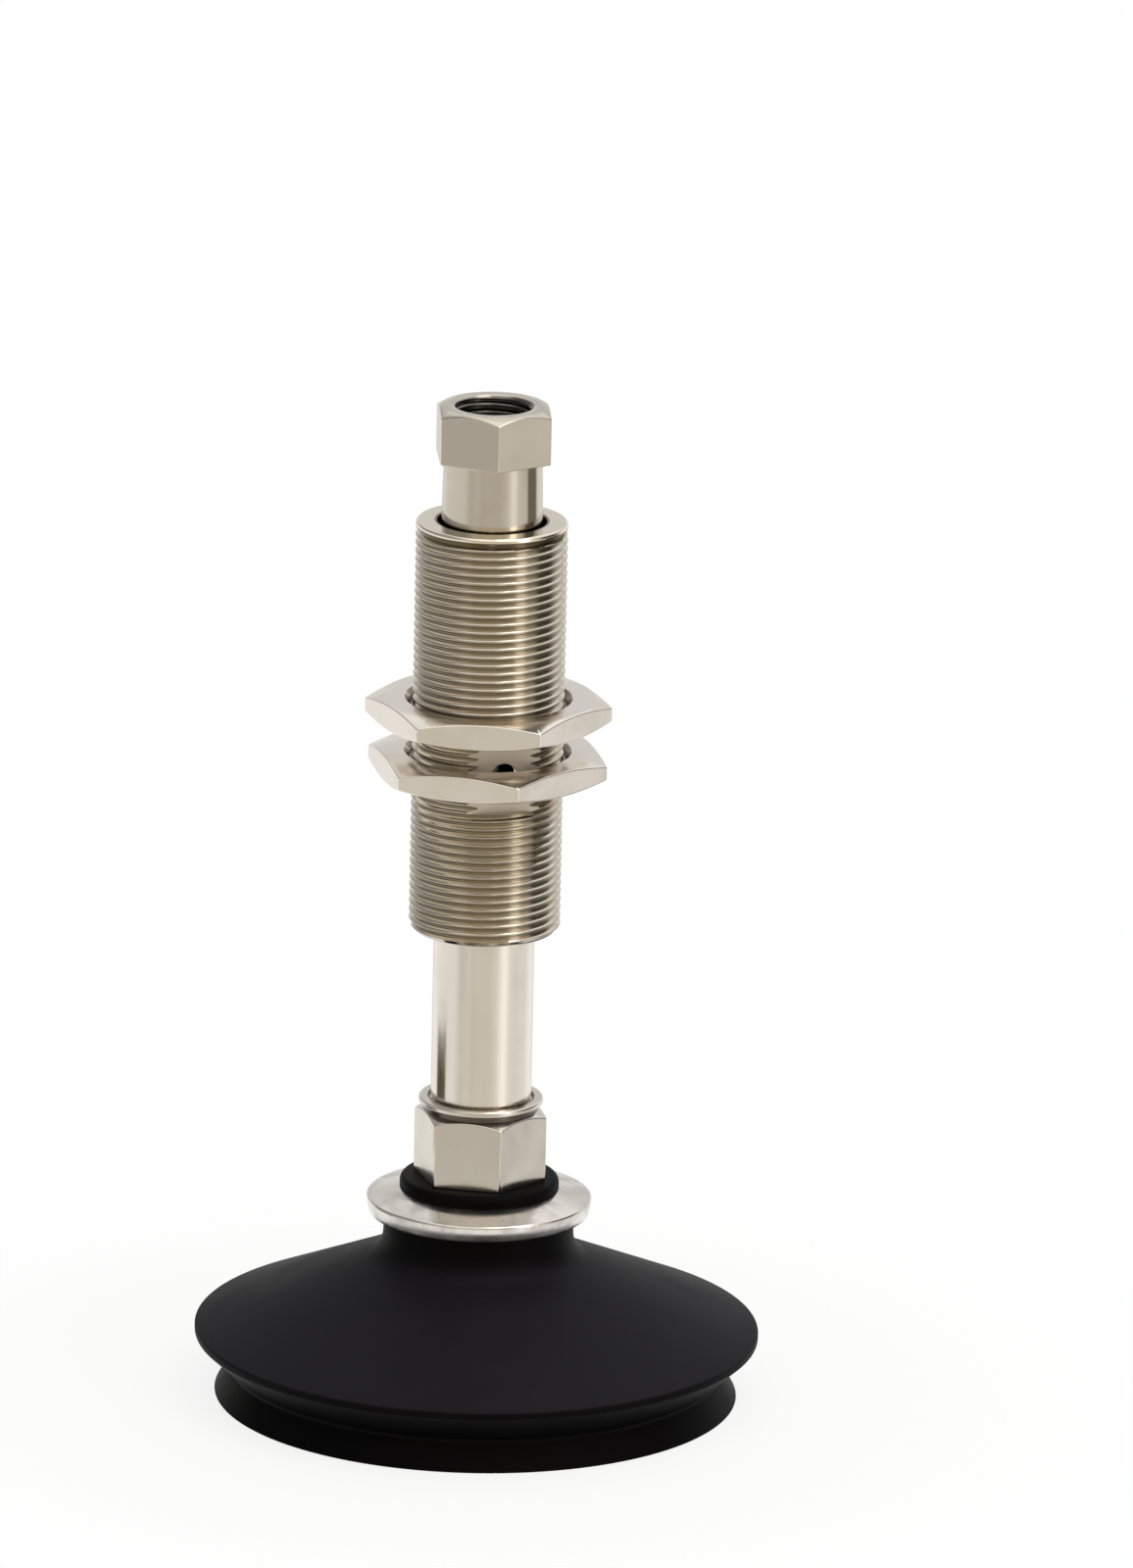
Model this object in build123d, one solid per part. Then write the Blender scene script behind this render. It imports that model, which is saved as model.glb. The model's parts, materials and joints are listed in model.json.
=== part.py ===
from build123d import *
import math
import os

# Suction cup level compensator: a sprung, hollow rod slides in a threaded sleeve that two thin
# nuts clamp to a bracket. The cup hangs on the rod's foot and the vacuum port rides on its head.
# Sizes are in millimetres and angles in degrees. Z = 0 is the plane of the sealing lip. A turn is
# an angle about Z, counted from -Y towards +X.

# ---------------------------------------------------------------- clearances and small edges
running_gap = 0.04        # radial, guide bush to rod
nut_gap = 0.05            # radial, nut bore to the crest of the sleeve's thread
insert_gap = 0.02         # radial, pieces that drop into a bore
thread_gap = 0.05         # radial, screwed spigot to its socket
wiper_gap = 0.02          # radial, wiper lip to rod
seat_gap = 0.1            # radial, spring seats to the rod's stem and the sleeve's bore
edge = 0.3                # chamfer that breaks a turned edge

# ---------------------------------------------------------------- suction cup
lip_radius = 31.3         # outside of the sealing lip
lip_land = 0.7            # width of the flat edge that seals
fold_radius = 29.4        # waist between the two folds of the bellows
fold_height = 3.5
rim_radius = 33.7         # widest point of the upper fold
rim_height = 7.4          # underside of the rim
rim_land = 0.9
rim_round = 0.8
shoulder_radius = 14.0    # a point on the dome, near the neck
shoulder_height = 16.8
dome_round = 3.4          # hollow fillet between dome and neck
neck_radius = 11.35
neck_height = 22.7        # ledge that carries the lock ring
cup_wall = 2.4
ceiling_height = 14.4     # roof of the vacuum chamber
cleat_count = 8           # short ribs under the dome, which keep the passage open
cleat_width = 2.0
cleat_depth = 1.1
cleat_start = 14.5
cleat_end = 24.0

# ---------------------------------------------------------------- lock ring on the cup's neck
ring_bore_radius = 9.2
ring_height = 3.0
ring_ridge_radius = 13.45
ring_ridge_height = 2.0   # above the ring's underside
ring_foot_radius = 13.1
ring_round = 0.3
bead_rise = 1.5           # roll of rubber that stands above the ring
bead_round = 1.35

# ---------------------------------------------------------------- vacuum passage and rod
passage_radius = 2.5
rod_radius = 6.0
stem_radius = 4.5         # upper, thinner length that the spring surrounds
stroke = 20.0
stop_reserve = 0.9        # left between adapter and sleeve at full stroke
rod_spigot_radius = 4.5
rod_spigot_length = 7.0
gasket_height = 0.5

# ---------------------------------------------------------------- adapter between rod and cup
adapter_flats = 14.0
adapter_height = 9.9
adapter_turn = 17.5
adapter_cone = 30.0       # turned top of the hexagon
collar_radius = 7.4       # disc on top of the hexagon, which the rod stands on
collar_height = 0.7
adapter_waist_radius = 6.8  # turned groove between the disc and the hexagon
adapter_waist_height = 0.75
adapter_stem_radius = 5.5
foot_radius = 8.5         # flange that the cup's neck is stretched over
foot_height = 3.0
foot_cover = 2.8          # rubber above the flange, up to the neck's ledge
foot_mouth_radius = 6.0
filter_seat_radius = 4.7
filter_seat_depth = 2.0
filter_funnel_height = 1.5
filter_thickness = 0.6
filter_hole_radius = 0.8
filter_hole_count = 6     # round the middle one
filter_hole_pitch = 2.4
filter_clip_thickness = 0.5
filter_clip_width = 0.9
filter_clip_bite = 0.25   # depth of its groove
clip_opening = 40.0       # angle left open in each retaining ring

# ---------------------------------------------------------------- threaded sleeve
thread_radius = 9.0       # M18 x 1
bore_radius = 7.3
sleeve_chamfer = 0.55
top_lip_radius = 6.5
top_lip_depth = 3.1
rim_collar_height = 0.8   # plain collar above the thread
rim_collar_round = 0.5
undercut_depth = 0.5
undercut_height = 0.6
vent_radius = 1.4
vent_height = 20.8        # above the sleeve's foot
vent_turn = 14.5
vent_flat_depth = 1.15    # milled flat round the vent
vent_flat_height = 9.0

# ---------------------------------------------------------------- what the sleeve holds, from below
bush_clip_inset = 1.0
bush_clip_thickness = 0.9
bush_clip_reach = 1.1     # how far it stands into the bore
bush_clip_bite = 0.45     # depth of its groove
wiper_height = 1.5
wiper_lip = 0.4
lower_bush_height = 7.5
shoulder_gap = 0.5        # between the lower bush and the rod's shoulder at rest
lower_seat_height = 1.0
upper_seat_height = 0.5
upper_bush_height = 6.0
bumper_height = 1.2       # elastomer washer that the port fitting rests on

# ---------------------------------------------------------------- return spring
wire_radius = 0.4
spring_turns = 7.5
wire_sides = 6            # flats that stand for the round wire
spring_closed_turns = 1.0  # at each end
spring_closed_pitch = 0.82
spring_reserve = 2.0      # left between the coils at full stroke

# ---------------------------------------------------------------- mounting nuts
nut_flats = 25.5
nut_height = 3.2
nut_cone = 20.0
nut_sink_radius = 10.0
lower_nut_rise = 18.7     # above the sleeve's foot
lower_nut_turn = 14.5
upper_nut_turn = 25.0
bracket_gap = 3.3

# ---------------------------------------------------------------- vacuum port
port_flats = 13.0
port_hex_height = 6.4
port_cone = 30.0
port_turn = 4.5
port_neck_radius = 6.0
port_neck_top_radius = 5.85
port_rise = 7.6           # neck that shows above the sleeve
port_thread_radius = 4.283  # G 1/8, minor radius
port_thread_depth = 7.0
port_mouth_radius = 4.7
port_web = 1.2            # wall between the port and the stem's socket
stem_spigot_radius = 4.0
stem_pilot = 1.0          # length of full stem inside the fitting

# ---------------------------------------------------------------- heights that follow
bead_top = neck_height + ring_height + bead_rise
adapter_top = bead_top + adapter_height
foot_top = neck_height - foot_cover
foot_low = foot_top - foot_height
filter_top = foot_low + filter_seat_depth
filter_low = filter_top - filter_thickness
rod_low = adapter_top - rod_spigot_length
sleeve_low = adapter_top + stroke + stop_reserve
bush_clip_low = sleeve_low + bush_clip_inset
wiper_low = bush_clip_low + bush_clip_thickness
lower_bush_low = wiper_low + wiper_height
lower_bush_top = lower_bush_low + lower_bush_height
shoulder = lower_bush_top + shoulder_gap
spring_low = shoulder + lower_seat_height
spring_top = spring_low + stroke + 2 * wire_radius * spring_turns + spring_reserve
upper_bush_low = spring_top + upper_seat_height
upper_bush_top = upper_bush_low + upper_bush_height
sleeve_top = upper_bush_top + top_lip_depth
port_low = upper_bush_top + bumper_height
port_hex_low = sleeve_top + port_rise
port_top = port_hex_low + port_hex_height
port_floor = port_top - port_thread_depth
stem_top = port_floor - port_web - gasket_height
lower_nut_low = sleeve_low + lower_nut_rise
upper_nut_low = lower_nut_low + nut_height + bracket_gap

# ---------------------------------------------------------------- the dome's slope
dome_slope = (shoulder_height - rim_height - rim_land) / (rim_radius - shoulder_radius)
dome_wall = cup_wall * math.sqrt(1 + dome_slope ** 2)  # measured straight down


# ---------------------------------------------------------------- shared forms
def lathe(points, rounds=None):
    """A turned solid from its (radius, height) outline, with a fillet radius per point if given."""
    outline = FilletPolyline(points, radius=rounds, close=True) if rounds else Polyline(points, close=True)
    return revolve(Plane.XZ * make_face(outline), Axis.Z)


def washer(inner, outer, low, high):
    """A plain ring between two heights."""
    return lathe([(inner, low), (outer, low), (outer, high), (inner, high)])


def bar(radius, low, high):
    """A plain round bar between two heights."""
    return Pos(0, 0, low) * Cylinder(radius, high - low, align=(Align.CENTER, Align.CENTER, Align.MIN))


def hexagon(flats, low, high, corner_turn, cone, bottom_cone=True):
    """A hexagonal prism whose ends are turned to cones, which leaves the scalloped edges of a nut."""
    corner = flats / math.sqrt(3)
    turns = [math.radians(corner_turn + 60 * step) for step in range(6)]
    outline = Polyline([(corner * math.sin(t), -corner * math.cos(t)) for t in turns], close=True)
    prism = Pos(0, 0, low) * extrude(make_face(outline), high - low)
    face, over = flats / 2 - edge, corner + edge
    drop = (over - face) * math.tan(math.radians(cone))
    foot = [(face, low), (over, low + drop)] if bottom_cone else [(over, low)]
    return prism & lathe([(0, low), *foot, (over, high - drop), (face, high), (0, high)])


def split_ring(inner, outer, low, high):
    """A retaining ring, open at the back."""
    span = math.radians(clip_opening / 2)
    far = 2 * outer
    wedge = Polyline([(0, 0), (far * math.sin(span), far * math.cos(span)),
                      (-far * math.sin(span), far * math.cos(span))], close=True)
    opening = Pos(0, 0, low) * extrude(make_face(wedge), high - low)
    return washer(inner, outer, low, high) - opening


# ---------------------------------------------------------------- suction cup and lock ring
def dome_height(radius):
    """Height of the dome's outside at a radius."""
    return shoulder_height - dome_slope * (radius - shoulder_radius)


def adapter_foot():
    """The stem and flange that the cup's neck is moulded to fit, without their bores."""
    return lathe([(0, foot_low), (foot_radius - 2 * edge, foot_low), (foot_radius, foot_low + 2 * edge),
                  (foot_radius, foot_top - edge), (foot_radius - edge, foot_top),
                  (adapter_stem_radius, foot_top), (adapter_stem_radius, bead_top), (0, bead_top)])


def suction_cup():
    """The bellows cup of one and a half folds, with its cleats and the pocket for the adapter's foot."""
    inner_rim = rim_radius - cup_wall
    ceiling_radius = shoulder_radius + (shoulder_height - dome_wall - ceiling_height) / dome_slope
    ring_top = neck_height + ring_height
    bead_radius = ring_bore_radius + edge
    outline = [
        (0, bead_top, 0), (bead_radius, bead_top, bead_round), (bead_radius, ring_top, 0),
        (ring_bore_radius, ring_top - edge, 0), (ring_bore_radius, neck_height, 0),
        (neck_radius, neck_height, 0), (neck_radius, dome_height(neck_radius), dome_round),
        (rim_radius, rim_height + rim_land, rim_round), (rim_radius, rim_height, rim_round),
        (fold_radius, fold_height, 0), (lip_radius, 0, 0), (lip_radius - lip_land, 0, 0),
        (fold_radius - cup_wall, fold_height, 0),
        (inner_rim, dome_height(inner_rim) - dome_wall, rim_round),
        (ceiling_radius, ceiling_height, 0), (0, ceiling_height, 0),
    ]
    body = lathe([(r, z) for r, z, _ in outline], [turn for _, _, turn in outline])
    cleat = Polyline([
        (cleat_start, ceiling_height), (cleat_start, ceiling_height - cleat_depth),
        (cleat_end, dome_height(cleat_end) - dome_wall - cleat_depth),
        (cleat_end, dome_height(cleat_end) - dome_wall / 2),
        (cleat_start, dome_height(cleat_start) - dome_wall / 2)], close=True)
    rib = extrude(Plane.XZ * make_face(cleat), cleat_width / 2, both=True)
    body += [Rot(0, 0, 360 / cleat_count * step) * rib for step in range(cleat_count)]
    return body - adapter_foot() - bar(foot_mouth_radius, ceiling_height - cleat_depth, foot_low)


def cup_lock_ring():
    """The bevelled ring that grips the cup's neck on the adapter's foot."""
    top = neck_height + ring_height
    return lathe(
        [(ring_bore_radius, neck_height), (ring_foot_radius - edge, neck_height),
         (ring_foot_radius, neck_height + edge), (ring_ridge_radius, neck_height + ring_ridge_height),
         (ring_bore_radius + edge, top), (ring_bore_radius, top - edge)],
        [0, 0, 0, ring_round, 0, 0])


# ---------------------------------------------------------------- adapter and filter
def cup_adapter():
    """The hexagonal adapter: a socket for the rod above and a flanged foot for the cup below."""
    collar_low = adapter_top - collar_height
    hex_top = collar_low - adapter_waist_height
    body = hexagon(adapter_flats, bead_top, hex_top, adapter_turn, adapter_cone, bottom_cone=False)
    body += bar(adapter_waist_radius, hex_top, collar_low) + bar(collar_radius, collar_low, adapter_top)
    body += adapter_foot()
    socket = bar(rod_spigot_radius + thread_gap, rod_low - gasket_height, adapter_top)
    funnel_top = filter_top + filter_funnel_height
    funnel = lathe([(0, filter_top), (filter_seat_radius - 2 * edge, filter_top),
                    (passage_radius, funnel_top), (0, funnel_top)])
    seat = bar(filter_seat_radius, foot_low, filter_top)
    groove = bar(filter_seat_radius + filter_clip_bite, filter_low - filter_clip_thickness, filter_low)
    return body - socket - funnel - seat - groove - bar(passage_radius, foot_low, adapter_top)


def filter_screen():
    """The perforated disc that keeps dust out of the passage."""
    disc = bar(filter_seat_radius - insert_gap, filter_low, filter_top)
    hole = bar(filter_hole_radius, filter_low, filter_top)
    return disc - hole - [place * hole for place in PolarLocations(filter_hole_pitch, filter_hole_count)]


def filter_clip():
    """The split ring that holds the filter in the adapter's foot."""
    outer = filter_seat_radius + filter_clip_bite
    return split_ring(outer - filter_clip_width, outer, filter_low - filter_clip_thickness, filter_low)


def adapter_gasket():
    """The flat ring that seals the rod's foot in the adapter."""
    return washer(passage_radius, rod_spigot_radius, rod_low - gasket_height, rod_low)


# ---------------------------------------------------------------- rod and port
def spindle_tube():
    """The hollow rod: a guided length below, a shoulder for the spring and a thinner stem above."""
    pilot = port_low + stem_pilot
    return lathe([
        (passage_radius, rod_low), (rod_spigot_radius - edge, rod_low),
        (rod_spigot_radius, rod_low + edge), (rod_spigot_radius, adapter_top),
        (rod_radius - edge, adapter_top), (rod_radius, adapter_top + edge), (rod_radius, shoulder),
        (stem_radius, shoulder), (stem_radius, pilot), (stem_spigot_radius, pilot),
        (stem_spigot_radius, stem_top - edge), (stem_spigot_radius - edge, stem_top),
        (passage_radius, stem_top)])


def port_fitting():
    """The hexagonal vacuum port, whose neck enters the sleeve and rests on the bumper."""
    neck = lathe([(0, port_low), (port_neck_radius - edge, port_low), (port_neck_radius, port_low + edge),
                  (port_neck_radius, sleeve_top), (port_neck_top_radius, port_hex_low), (0, port_hex_low)])
    body = neck + hexagon(port_flats, port_hex_low, port_top, port_turn, port_cone, bottom_cone=False)
    pilot = bar(stem_radius + thread_gap, port_low, port_low + stem_pilot)
    socket = bar(stem_spigot_radius + thread_gap, port_low, stem_top + gasket_height)
    mouth = port_mouth_radius - port_thread_radius
    port = lathe([(0, port_floor), (port_thread_radius, port_floor), (port_thread_radius, port_top - mouth),
                  (port_mouth_radius, port_top), (0, port_top)])
    return body - pilot - socket - port - bar(passage_radius, port_low, port_top)


def port_gasket():
    """The flat ring that seals the stem's head in the port fitting."""
    return washer(passage_radius, stem_spigot_radius, stem_top, stem_top + gasket_height)


# ---------------------------------------------------------------- sleeve and its inserts
def threaded_sleeve():
    """The sleeve, plain at its thread's crest, with its clip groove, top lip, undercut, vent and flat."""
    undercut_top = sleeve_top - rim_collar_height
    undercut_low = undercut_top - undercut_height
    root = thread_radius - undercut_depth
    outline = [
        (bore_radius, sleeve_low, 0), (thread_radius - sleeve_chamfer, sleeve_low, 0),
        (thread_radius, sleeve_low + sleeve_chamfer, 0), (thread_radius, undercut_low, 0),
        (root, undercut_low, 0), (root, undercut_top, 0), (thread_radius, undercut_top, 0),
        (thread_radius, sleeve_top, rim_collar_round), (top_lip_radius, sleeve_top, 0),
        (top_lip_radius, upper_bush_top, 0), (bore_radius, upper_bush_top, 0),
        (bore_radius, wiper_low, 0), (bore_radius + bush_clip_bite, wiper_low, 0),
        (bore_radius + bush_clip_bite, bush_clip_low, 0), (bore_radius, bush_clip_low, 0),
    ]
    body = lathe([(r, z) for r, z, _ in outline], [turn for _, _, turn in outline])
    outward = Rot(0, 0, vent_turn) * Pos(0, 0, sleeve_low + vent_height) * Rot(90, 0, 0)
    hole = outward * bar(vent_radius, 0, 2 * thread_radius)
    flat = outward * Pos(0, 0, thread_radius - vent_flat_depth) * Box(
        2 * thread_radius, vent_flat_height, thread_radius, align=(Align.CENTER, Align.CENTER, Align.MIN))
    return body - hole - flat


def bush_clip():
    """The split ring that holds the wiper and the lower bush in the sleeve."""
    return split_ring(bore_radius - bush_clip_reach, bore_radius + bush_clip_bite, bush_clip_low, wiper_low)


def rod_wiper():
    """The wiper, whose lip cleans the rod below the lower bush."""
    lip = rod_radius + wiper_gap
    return lathe([(lip, wiper_low), (bore_radius - insert_gap, wiper_low),
                  (bore_radius - insert_gap, lower_bush_low), (lip + wiper_lip, lower_bush_low),
                  (lip + wiper_lip, lower_bush_low - wiper_height / 2), (lip, wiper_low + wiper_lip)])


def guide_bush(inner, low, high):
    """A guide bush in the sleeve's bore, with its edges broken."""
    outer = bore_radius - insert_gap
    return lathe([(inner + edge, low), (outer - edge, low), (outer, low + edge), (outer, high - edge),
                  (outer - edge, high), (inner + edge, high), (inner, high - edge), (inner, low + edge)])


def lower_guide_bush():
    """The bush that guides the rod."""
    return guide_bush(rod_radius + running_gap, lower_bush_low, lower_bush_top)


def upper_guide_bush():
    """The bush that guides the stem, against the sleeve's top lip."""
    return guide_bush(stem_radius + running_gap, upper_bush_low, upper_bush_top)


def lower_spring_seat():
    """The washer between the rod's shoulder and the spring."""
    return washer(stem_radius + seat_gap, bore_radius - seat_gap, shoulder, spring_low)


def upper_spring_seat():
    """The washer between the spring and the upper bush."""
    return washer(stem_radius + seat_gap, bore_radius - seat_gap, spring_top, upper_bush_low)


def end_stop_bumper():
    """The elastomer washer that stops the rod at the bottom of its travel."""
    return washer(stem_radius + seat_gap, top_lip_radius - seat_gap, upper_bush_top, port_low)


def compression_spring():
    """The return spring, wound with closed ends."""
    mean = (stem_radius + bore_radius) / 2
    low, high = spring_low + wire_radius, spring_top - wire_radius
    closed = spring_closed_turns * spring_closed_pitch
    active_turns = spring_turns - 2 * spring_closed_turns
    active = high - low - 2 * closed
    stretches = [(spring_closed_turns, closed), (active_turns, active), (spring_closed_turns, closed)]
    coils, turned = [], 0
    for turns, rise in stretches:
        coils.append(Rot(0, 0, 360 * turned) * Pos(0, 0, low) * Helix(rise / turns, rise, mean))
        low, turned = low + rise, turned + turns
    path = Wire([helix.edge() for helix in coils])
    start = Plane(path @ 0, x_dir=(1, 0, 0), z_dir=path % 0)
    section = start * RegularPolygon(wire_radius, wire_sides, rotation=180 / wire_sides)
    return sweep(section, path=path, is_frenet=True, transition=Transition.TRANSFORMED)


# ---------------------------------------------------------------- mounting nuts
def mounting_nut(low, corner_turn):
    """A thin nut with turned ends and a countersink on each face."""
    high = low + nut_height
    bore = thread_radius + nut_gap
    sink = nut_sink_radius - bore
    hollow = lathe([(0, low), (nut_sink_radius, low), (bore, low + sink), (bore, high - sink),
                    (nut_sink_radius, high), (0, high)])
    return hexagon(nut_flats, low, high, corner_turn, nut_cone) - hollow


def lower_mounting_nut():
    """The nut below the bracket."""
    return mounting_nut(lower_nut_low, lower_nut_turn)


def upper_mounting_nut():
    """The nut above the bracket."""
    return mounting_nut(upper_nut_low, upper_nut_turn)


# ---------------------------------------------------------------- one file per piece
pieces = [
    threaded_sleeve, upper_guide_bush, lower_guide_bush, bush_clip, rod_wiper, end_stop_bumper,
    upper_spring_seat, upper_mounting_nut, lower_mounting_nut, lower_spring_seat, compression_spring,
    spindle_tube, port_fitting, port_gasket, cup_adapter, adapter_gasket, cup_lock_ring, suction_cup,
    filter_screen, filter_clip,
]
os.makedirs("parts", exist_ok=True)
for piece in pieces:
    export_step(piece(), f"parts/{piece.__name__}.step")
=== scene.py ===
"""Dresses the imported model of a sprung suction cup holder.

Each visible piece gets a fine mesh of its own, or keeps its node's, and a finish. Sizes in this
file are millimetres and degrees unless a name says otherwise; meshes and places are turned into
metres where they are made. A turn is an angle about Z, counted from -Y towards +X.
"""

import json
import logging
import math
from abc import ABC, abstractmethod
from dataclasses import dataclass, field
from enum import Enum
from functools import reduce
from typing import Callable, Mapping, Optional, Sequence, Union

import bmesh
import bpy
import numpy as np
from mathutils import Matrix, Quaternion, Vector


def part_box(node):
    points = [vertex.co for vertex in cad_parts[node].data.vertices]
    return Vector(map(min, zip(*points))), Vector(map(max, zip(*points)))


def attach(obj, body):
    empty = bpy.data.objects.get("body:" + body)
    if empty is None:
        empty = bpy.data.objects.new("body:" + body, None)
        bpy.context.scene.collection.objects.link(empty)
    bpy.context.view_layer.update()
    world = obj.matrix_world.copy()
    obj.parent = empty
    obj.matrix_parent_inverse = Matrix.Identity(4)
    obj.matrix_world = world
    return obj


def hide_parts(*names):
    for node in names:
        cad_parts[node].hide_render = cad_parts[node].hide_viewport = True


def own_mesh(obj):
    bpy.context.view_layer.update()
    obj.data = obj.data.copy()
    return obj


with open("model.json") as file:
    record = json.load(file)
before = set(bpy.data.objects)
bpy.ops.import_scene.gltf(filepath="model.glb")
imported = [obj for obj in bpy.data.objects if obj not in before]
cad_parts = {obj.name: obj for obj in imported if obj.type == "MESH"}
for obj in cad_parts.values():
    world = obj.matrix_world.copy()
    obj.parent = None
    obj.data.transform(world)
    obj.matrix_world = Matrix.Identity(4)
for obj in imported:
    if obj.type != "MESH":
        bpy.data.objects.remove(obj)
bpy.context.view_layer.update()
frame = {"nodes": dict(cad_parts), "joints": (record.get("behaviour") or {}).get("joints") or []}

METRE = 1000.0                      # millimetres in a metre
MERGE_M = 1e-7                      # points nearer than this are one point
ROUND_STEPS = 5                     # facets of a rounded corner
ROUND_ROOM = 0.49                   # share of a side that a rounded corner may take
SMOOTH_ANGLE = math.radians(38.0)   # edges sharper than this stay sharp

log = logging.getLogger("compensator")
Colour = tuple[float, float, float]
Numbers = Union[float, np.ndarray]
Corner = tuple[float, ...]          # radius, height and, where it is rounded, by which radius
Limit = Callable[[np.ndarray, np.ndarray], np.ndarray]  # changes radii at their heights
FINE, BROKEN, EASED, ROUNDED = 0.1, 0.12, 0.15, 0.3     # corner radii that several pieces share
BLACK: Colour = (0.0, 0.0, 0.0)
WHITE: Colour = (1.0, 1.0, 1.0)


class Body(Enum):
    """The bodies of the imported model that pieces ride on."""

    SLEEVE = "sleeve"
    UPPER_NUT = "upper_nut"
    LOWER_NUT = "lower_nut"
    SPINDLE = "spindle"


class Slot(Enum):
    """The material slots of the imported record."""

    SLEEVE = "nickel_sleeve"
    NUT = "nickel_nut"
    ROD = "nickel_rod"
    PORT = "nickel_port"
    ADAPTER = "nickel_adapter"
    RING = "nickel_ring"
    SPRING = "spring_steel"
    FILTER = "filter_steel"
    CUP = "cup_rubber"


class Cut(Enum):
    """How a second solid changes the first."""

    REMOVE = "DIFFERENCE"
    ADD = "UNION"


# ---------------------------------------------------------------------- places
@dataclass(frozen=True)
class Span:
    """The heights between which a node of the frame lies at rest."""

    low: float
    high: float

    @classmethod
    def of(cls, node: str) -> "Span":
        """Reads a node's heights from the frame.

        Args:
            node: The node's name.

        Returns:
            Its lowest and highest height.
        """
        lowest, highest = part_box(node)
        return cls(lowest.z * METRE, highest.z * METRE)


def soften(corners: Sequence[Corner]) -> list[tuple[float, float]]:
    """Rounds the corners of a closed outline.

    Args:
        corners: The outline's corners in order.

    Returns:
        Points as (radius, height).
    """
    points: list[tuple[float, float]] = []
    for index, (*place_here, wanted) in enumerate((*corner, 0.0)[:3] for corner in corners):
        here = np.array(place_here)
        if wanted <= 0.0:
            points.append(tuple(place_here))
            continue
        sides = [np.array(corners[(index + step) % len(corners)][:2]) - here for step in (-1, 1)]
        room = ROUND_ROOM * min(np.linalg.norm(side) for side in sides)
        back, ahead = (side / np.linalg.norm(side) for side in sides)
        half = math.acos(float(np.clip(back @ ahead, -1.0, 1.0))) / 2.0
        reach = min(wanted / math.tan(half), room)
        radius = reach * math.tan(half)
        middle = here + (back + ahead) / np.linalg.norm(back + ahead) * radius / math.sin(half)
        start, end = here + back * reach - middle, here + ahead * reach - middle
        sweep = math.pi - 2.0 * half
        for share in (step / ROUND_STEPS for step in range(ROUND_STEPS + 1)):
            bent = math.sin((1.0 - share) * sweep) * start + math.sin(share * sweep) * end
            points.append(tuple((middle + bent / math.sin(sweep)).tolist()))
    return points


def heading(turn: float) -> np.ndarray:
    """Returns the level unit vector that points at a turn, given in radians."""
    return np.array((math.sin(turn), -math.cos(turn)))


# ---------------------------------------------------------------------- plan forms
@dataclass(frozen=True)
class RoundPlan:
    """A round plan: evenly spaced angles."""

    count: int

    def angles(self) -> np.ndarray:
        """Returns the angles of the plan's points, in radians."""
        return np.linspace(0.0, 2.0 * math.pi, self.count, endpoint=False)


# Facets round a drill, the vent, a disc, a tube, the lock ring and the cup.
DRILL_PLAN, VENT_PLAN, DISC_PLAN, TUBE_PLAN, RING_PLAN, CUP_PLAN = (
    RoundPlan(count) for count in (32, 72, 96, 144, 192, 256))


@dataclass(frozen=True)
class HexPlan:
    """A hexagonal plan with slightly rounded corners.

    Args:
        flats: Distance across the flats.
        turn: Turn of one corner.
        corner_round: Radius of the six corners.
        along: Points on each flat.
        around: Points on each corner.
    """

    flats: float
    turn: float
    corner_round: float
    along: int = 22
    around: int = 4

    def points(self) -> np.ndarray:
        """Works out the outline.

        Returns:
            Pairs of turn and radius, in radians and millimetres, by rising turn.
        """
        half = math.radians(30.0)
        reach = (self.flats / 2.0 - self.corner_round) / math.cos(half)
        found = []
        for side in range(6):
            corner = math.radians(self.turn + 60.0 * side)
            for step in range(self.around + 1):
                lean = corner - half + 2.0 * half * step / self.around
                found.append(heading(corner) * reach + self.corner_round * heading(lean))
            start = found[-1]
            end = heading(corner + 2.0 * half) * reach + self.corner_round * heading(corner + half)
            found.extend(start + (end - start) * step / self.along for step in range(1, self.along))
        spots = np.array(found)
        turns = np.arctan2(spots[:, 0], -spots[:, 1]) % (2.0 * math.pi)
        order = np.argsort(turns)
        return np.column_stack((turns[order], np.hypot(spots[order, 0], spots[order, 1])))


# ---------------------------------------------------------------------- threads
@dataclass(frozen=True)
class ThreadForm:
    """A 60 degree screw thread, as one radius per height over a pitch.

    Args:
        pitch: Rise per turn.
        crest: Radius at the crest.
        root: Radius at the root, smaller than the crest outside and larger inside.
    """

    pitch: float
    crest: float
    root: float

    def stations(self) -> tuple[np.ndarray, np.ndarray]:
        """Works out one pitch of the form.

        Returns:
            Heights as shares of the pitch, and the radius at each.
        """
        depth = self.root - self.crest
        flank = abs(depth) * math.tan(math.radians(30.0)) / self.pitch
        crest_half = 1.0 / 16.0
        root_half = 0.5 - crest_half - flank
        # Shares of the pitch from the middle of a crest, and shares of the depth.
        side = [(crest_half * 0.5, 0.0), (crest_half * 1.15, 0.03),
                (crest_half + flank * 0.14, 0.12), (0.5 - root_half - flank * 0.12, 0.90),
                (0.5 - root_half * 0.55, 0.985), (0.5, 1.0)]
        rising = [(at, self.crest + depth * share) for at, share in side]
        falling = [(1.0 - at, radius) for at, radius in reversed(rising[:-1])]
        found = np.array(rising + falling)
        return found[:, 0], found[:, 1]

    def radius(self, height: np.ndarray, angle: np.ndarray) -> np.ndarray:
        """Gives the thread's radius at a place.

        Args:
            height: Heights above the thread's start.
            angle: Angles about the axis, in radians.

        Returns:
            The radius at each place.
        """
        at, radii = self.stations()
        phase = (height / self.pitch - angle / (2.0 * math.pi)) % 1.0
        return np.interp(phase, at, radii, period=1.0)


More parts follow.
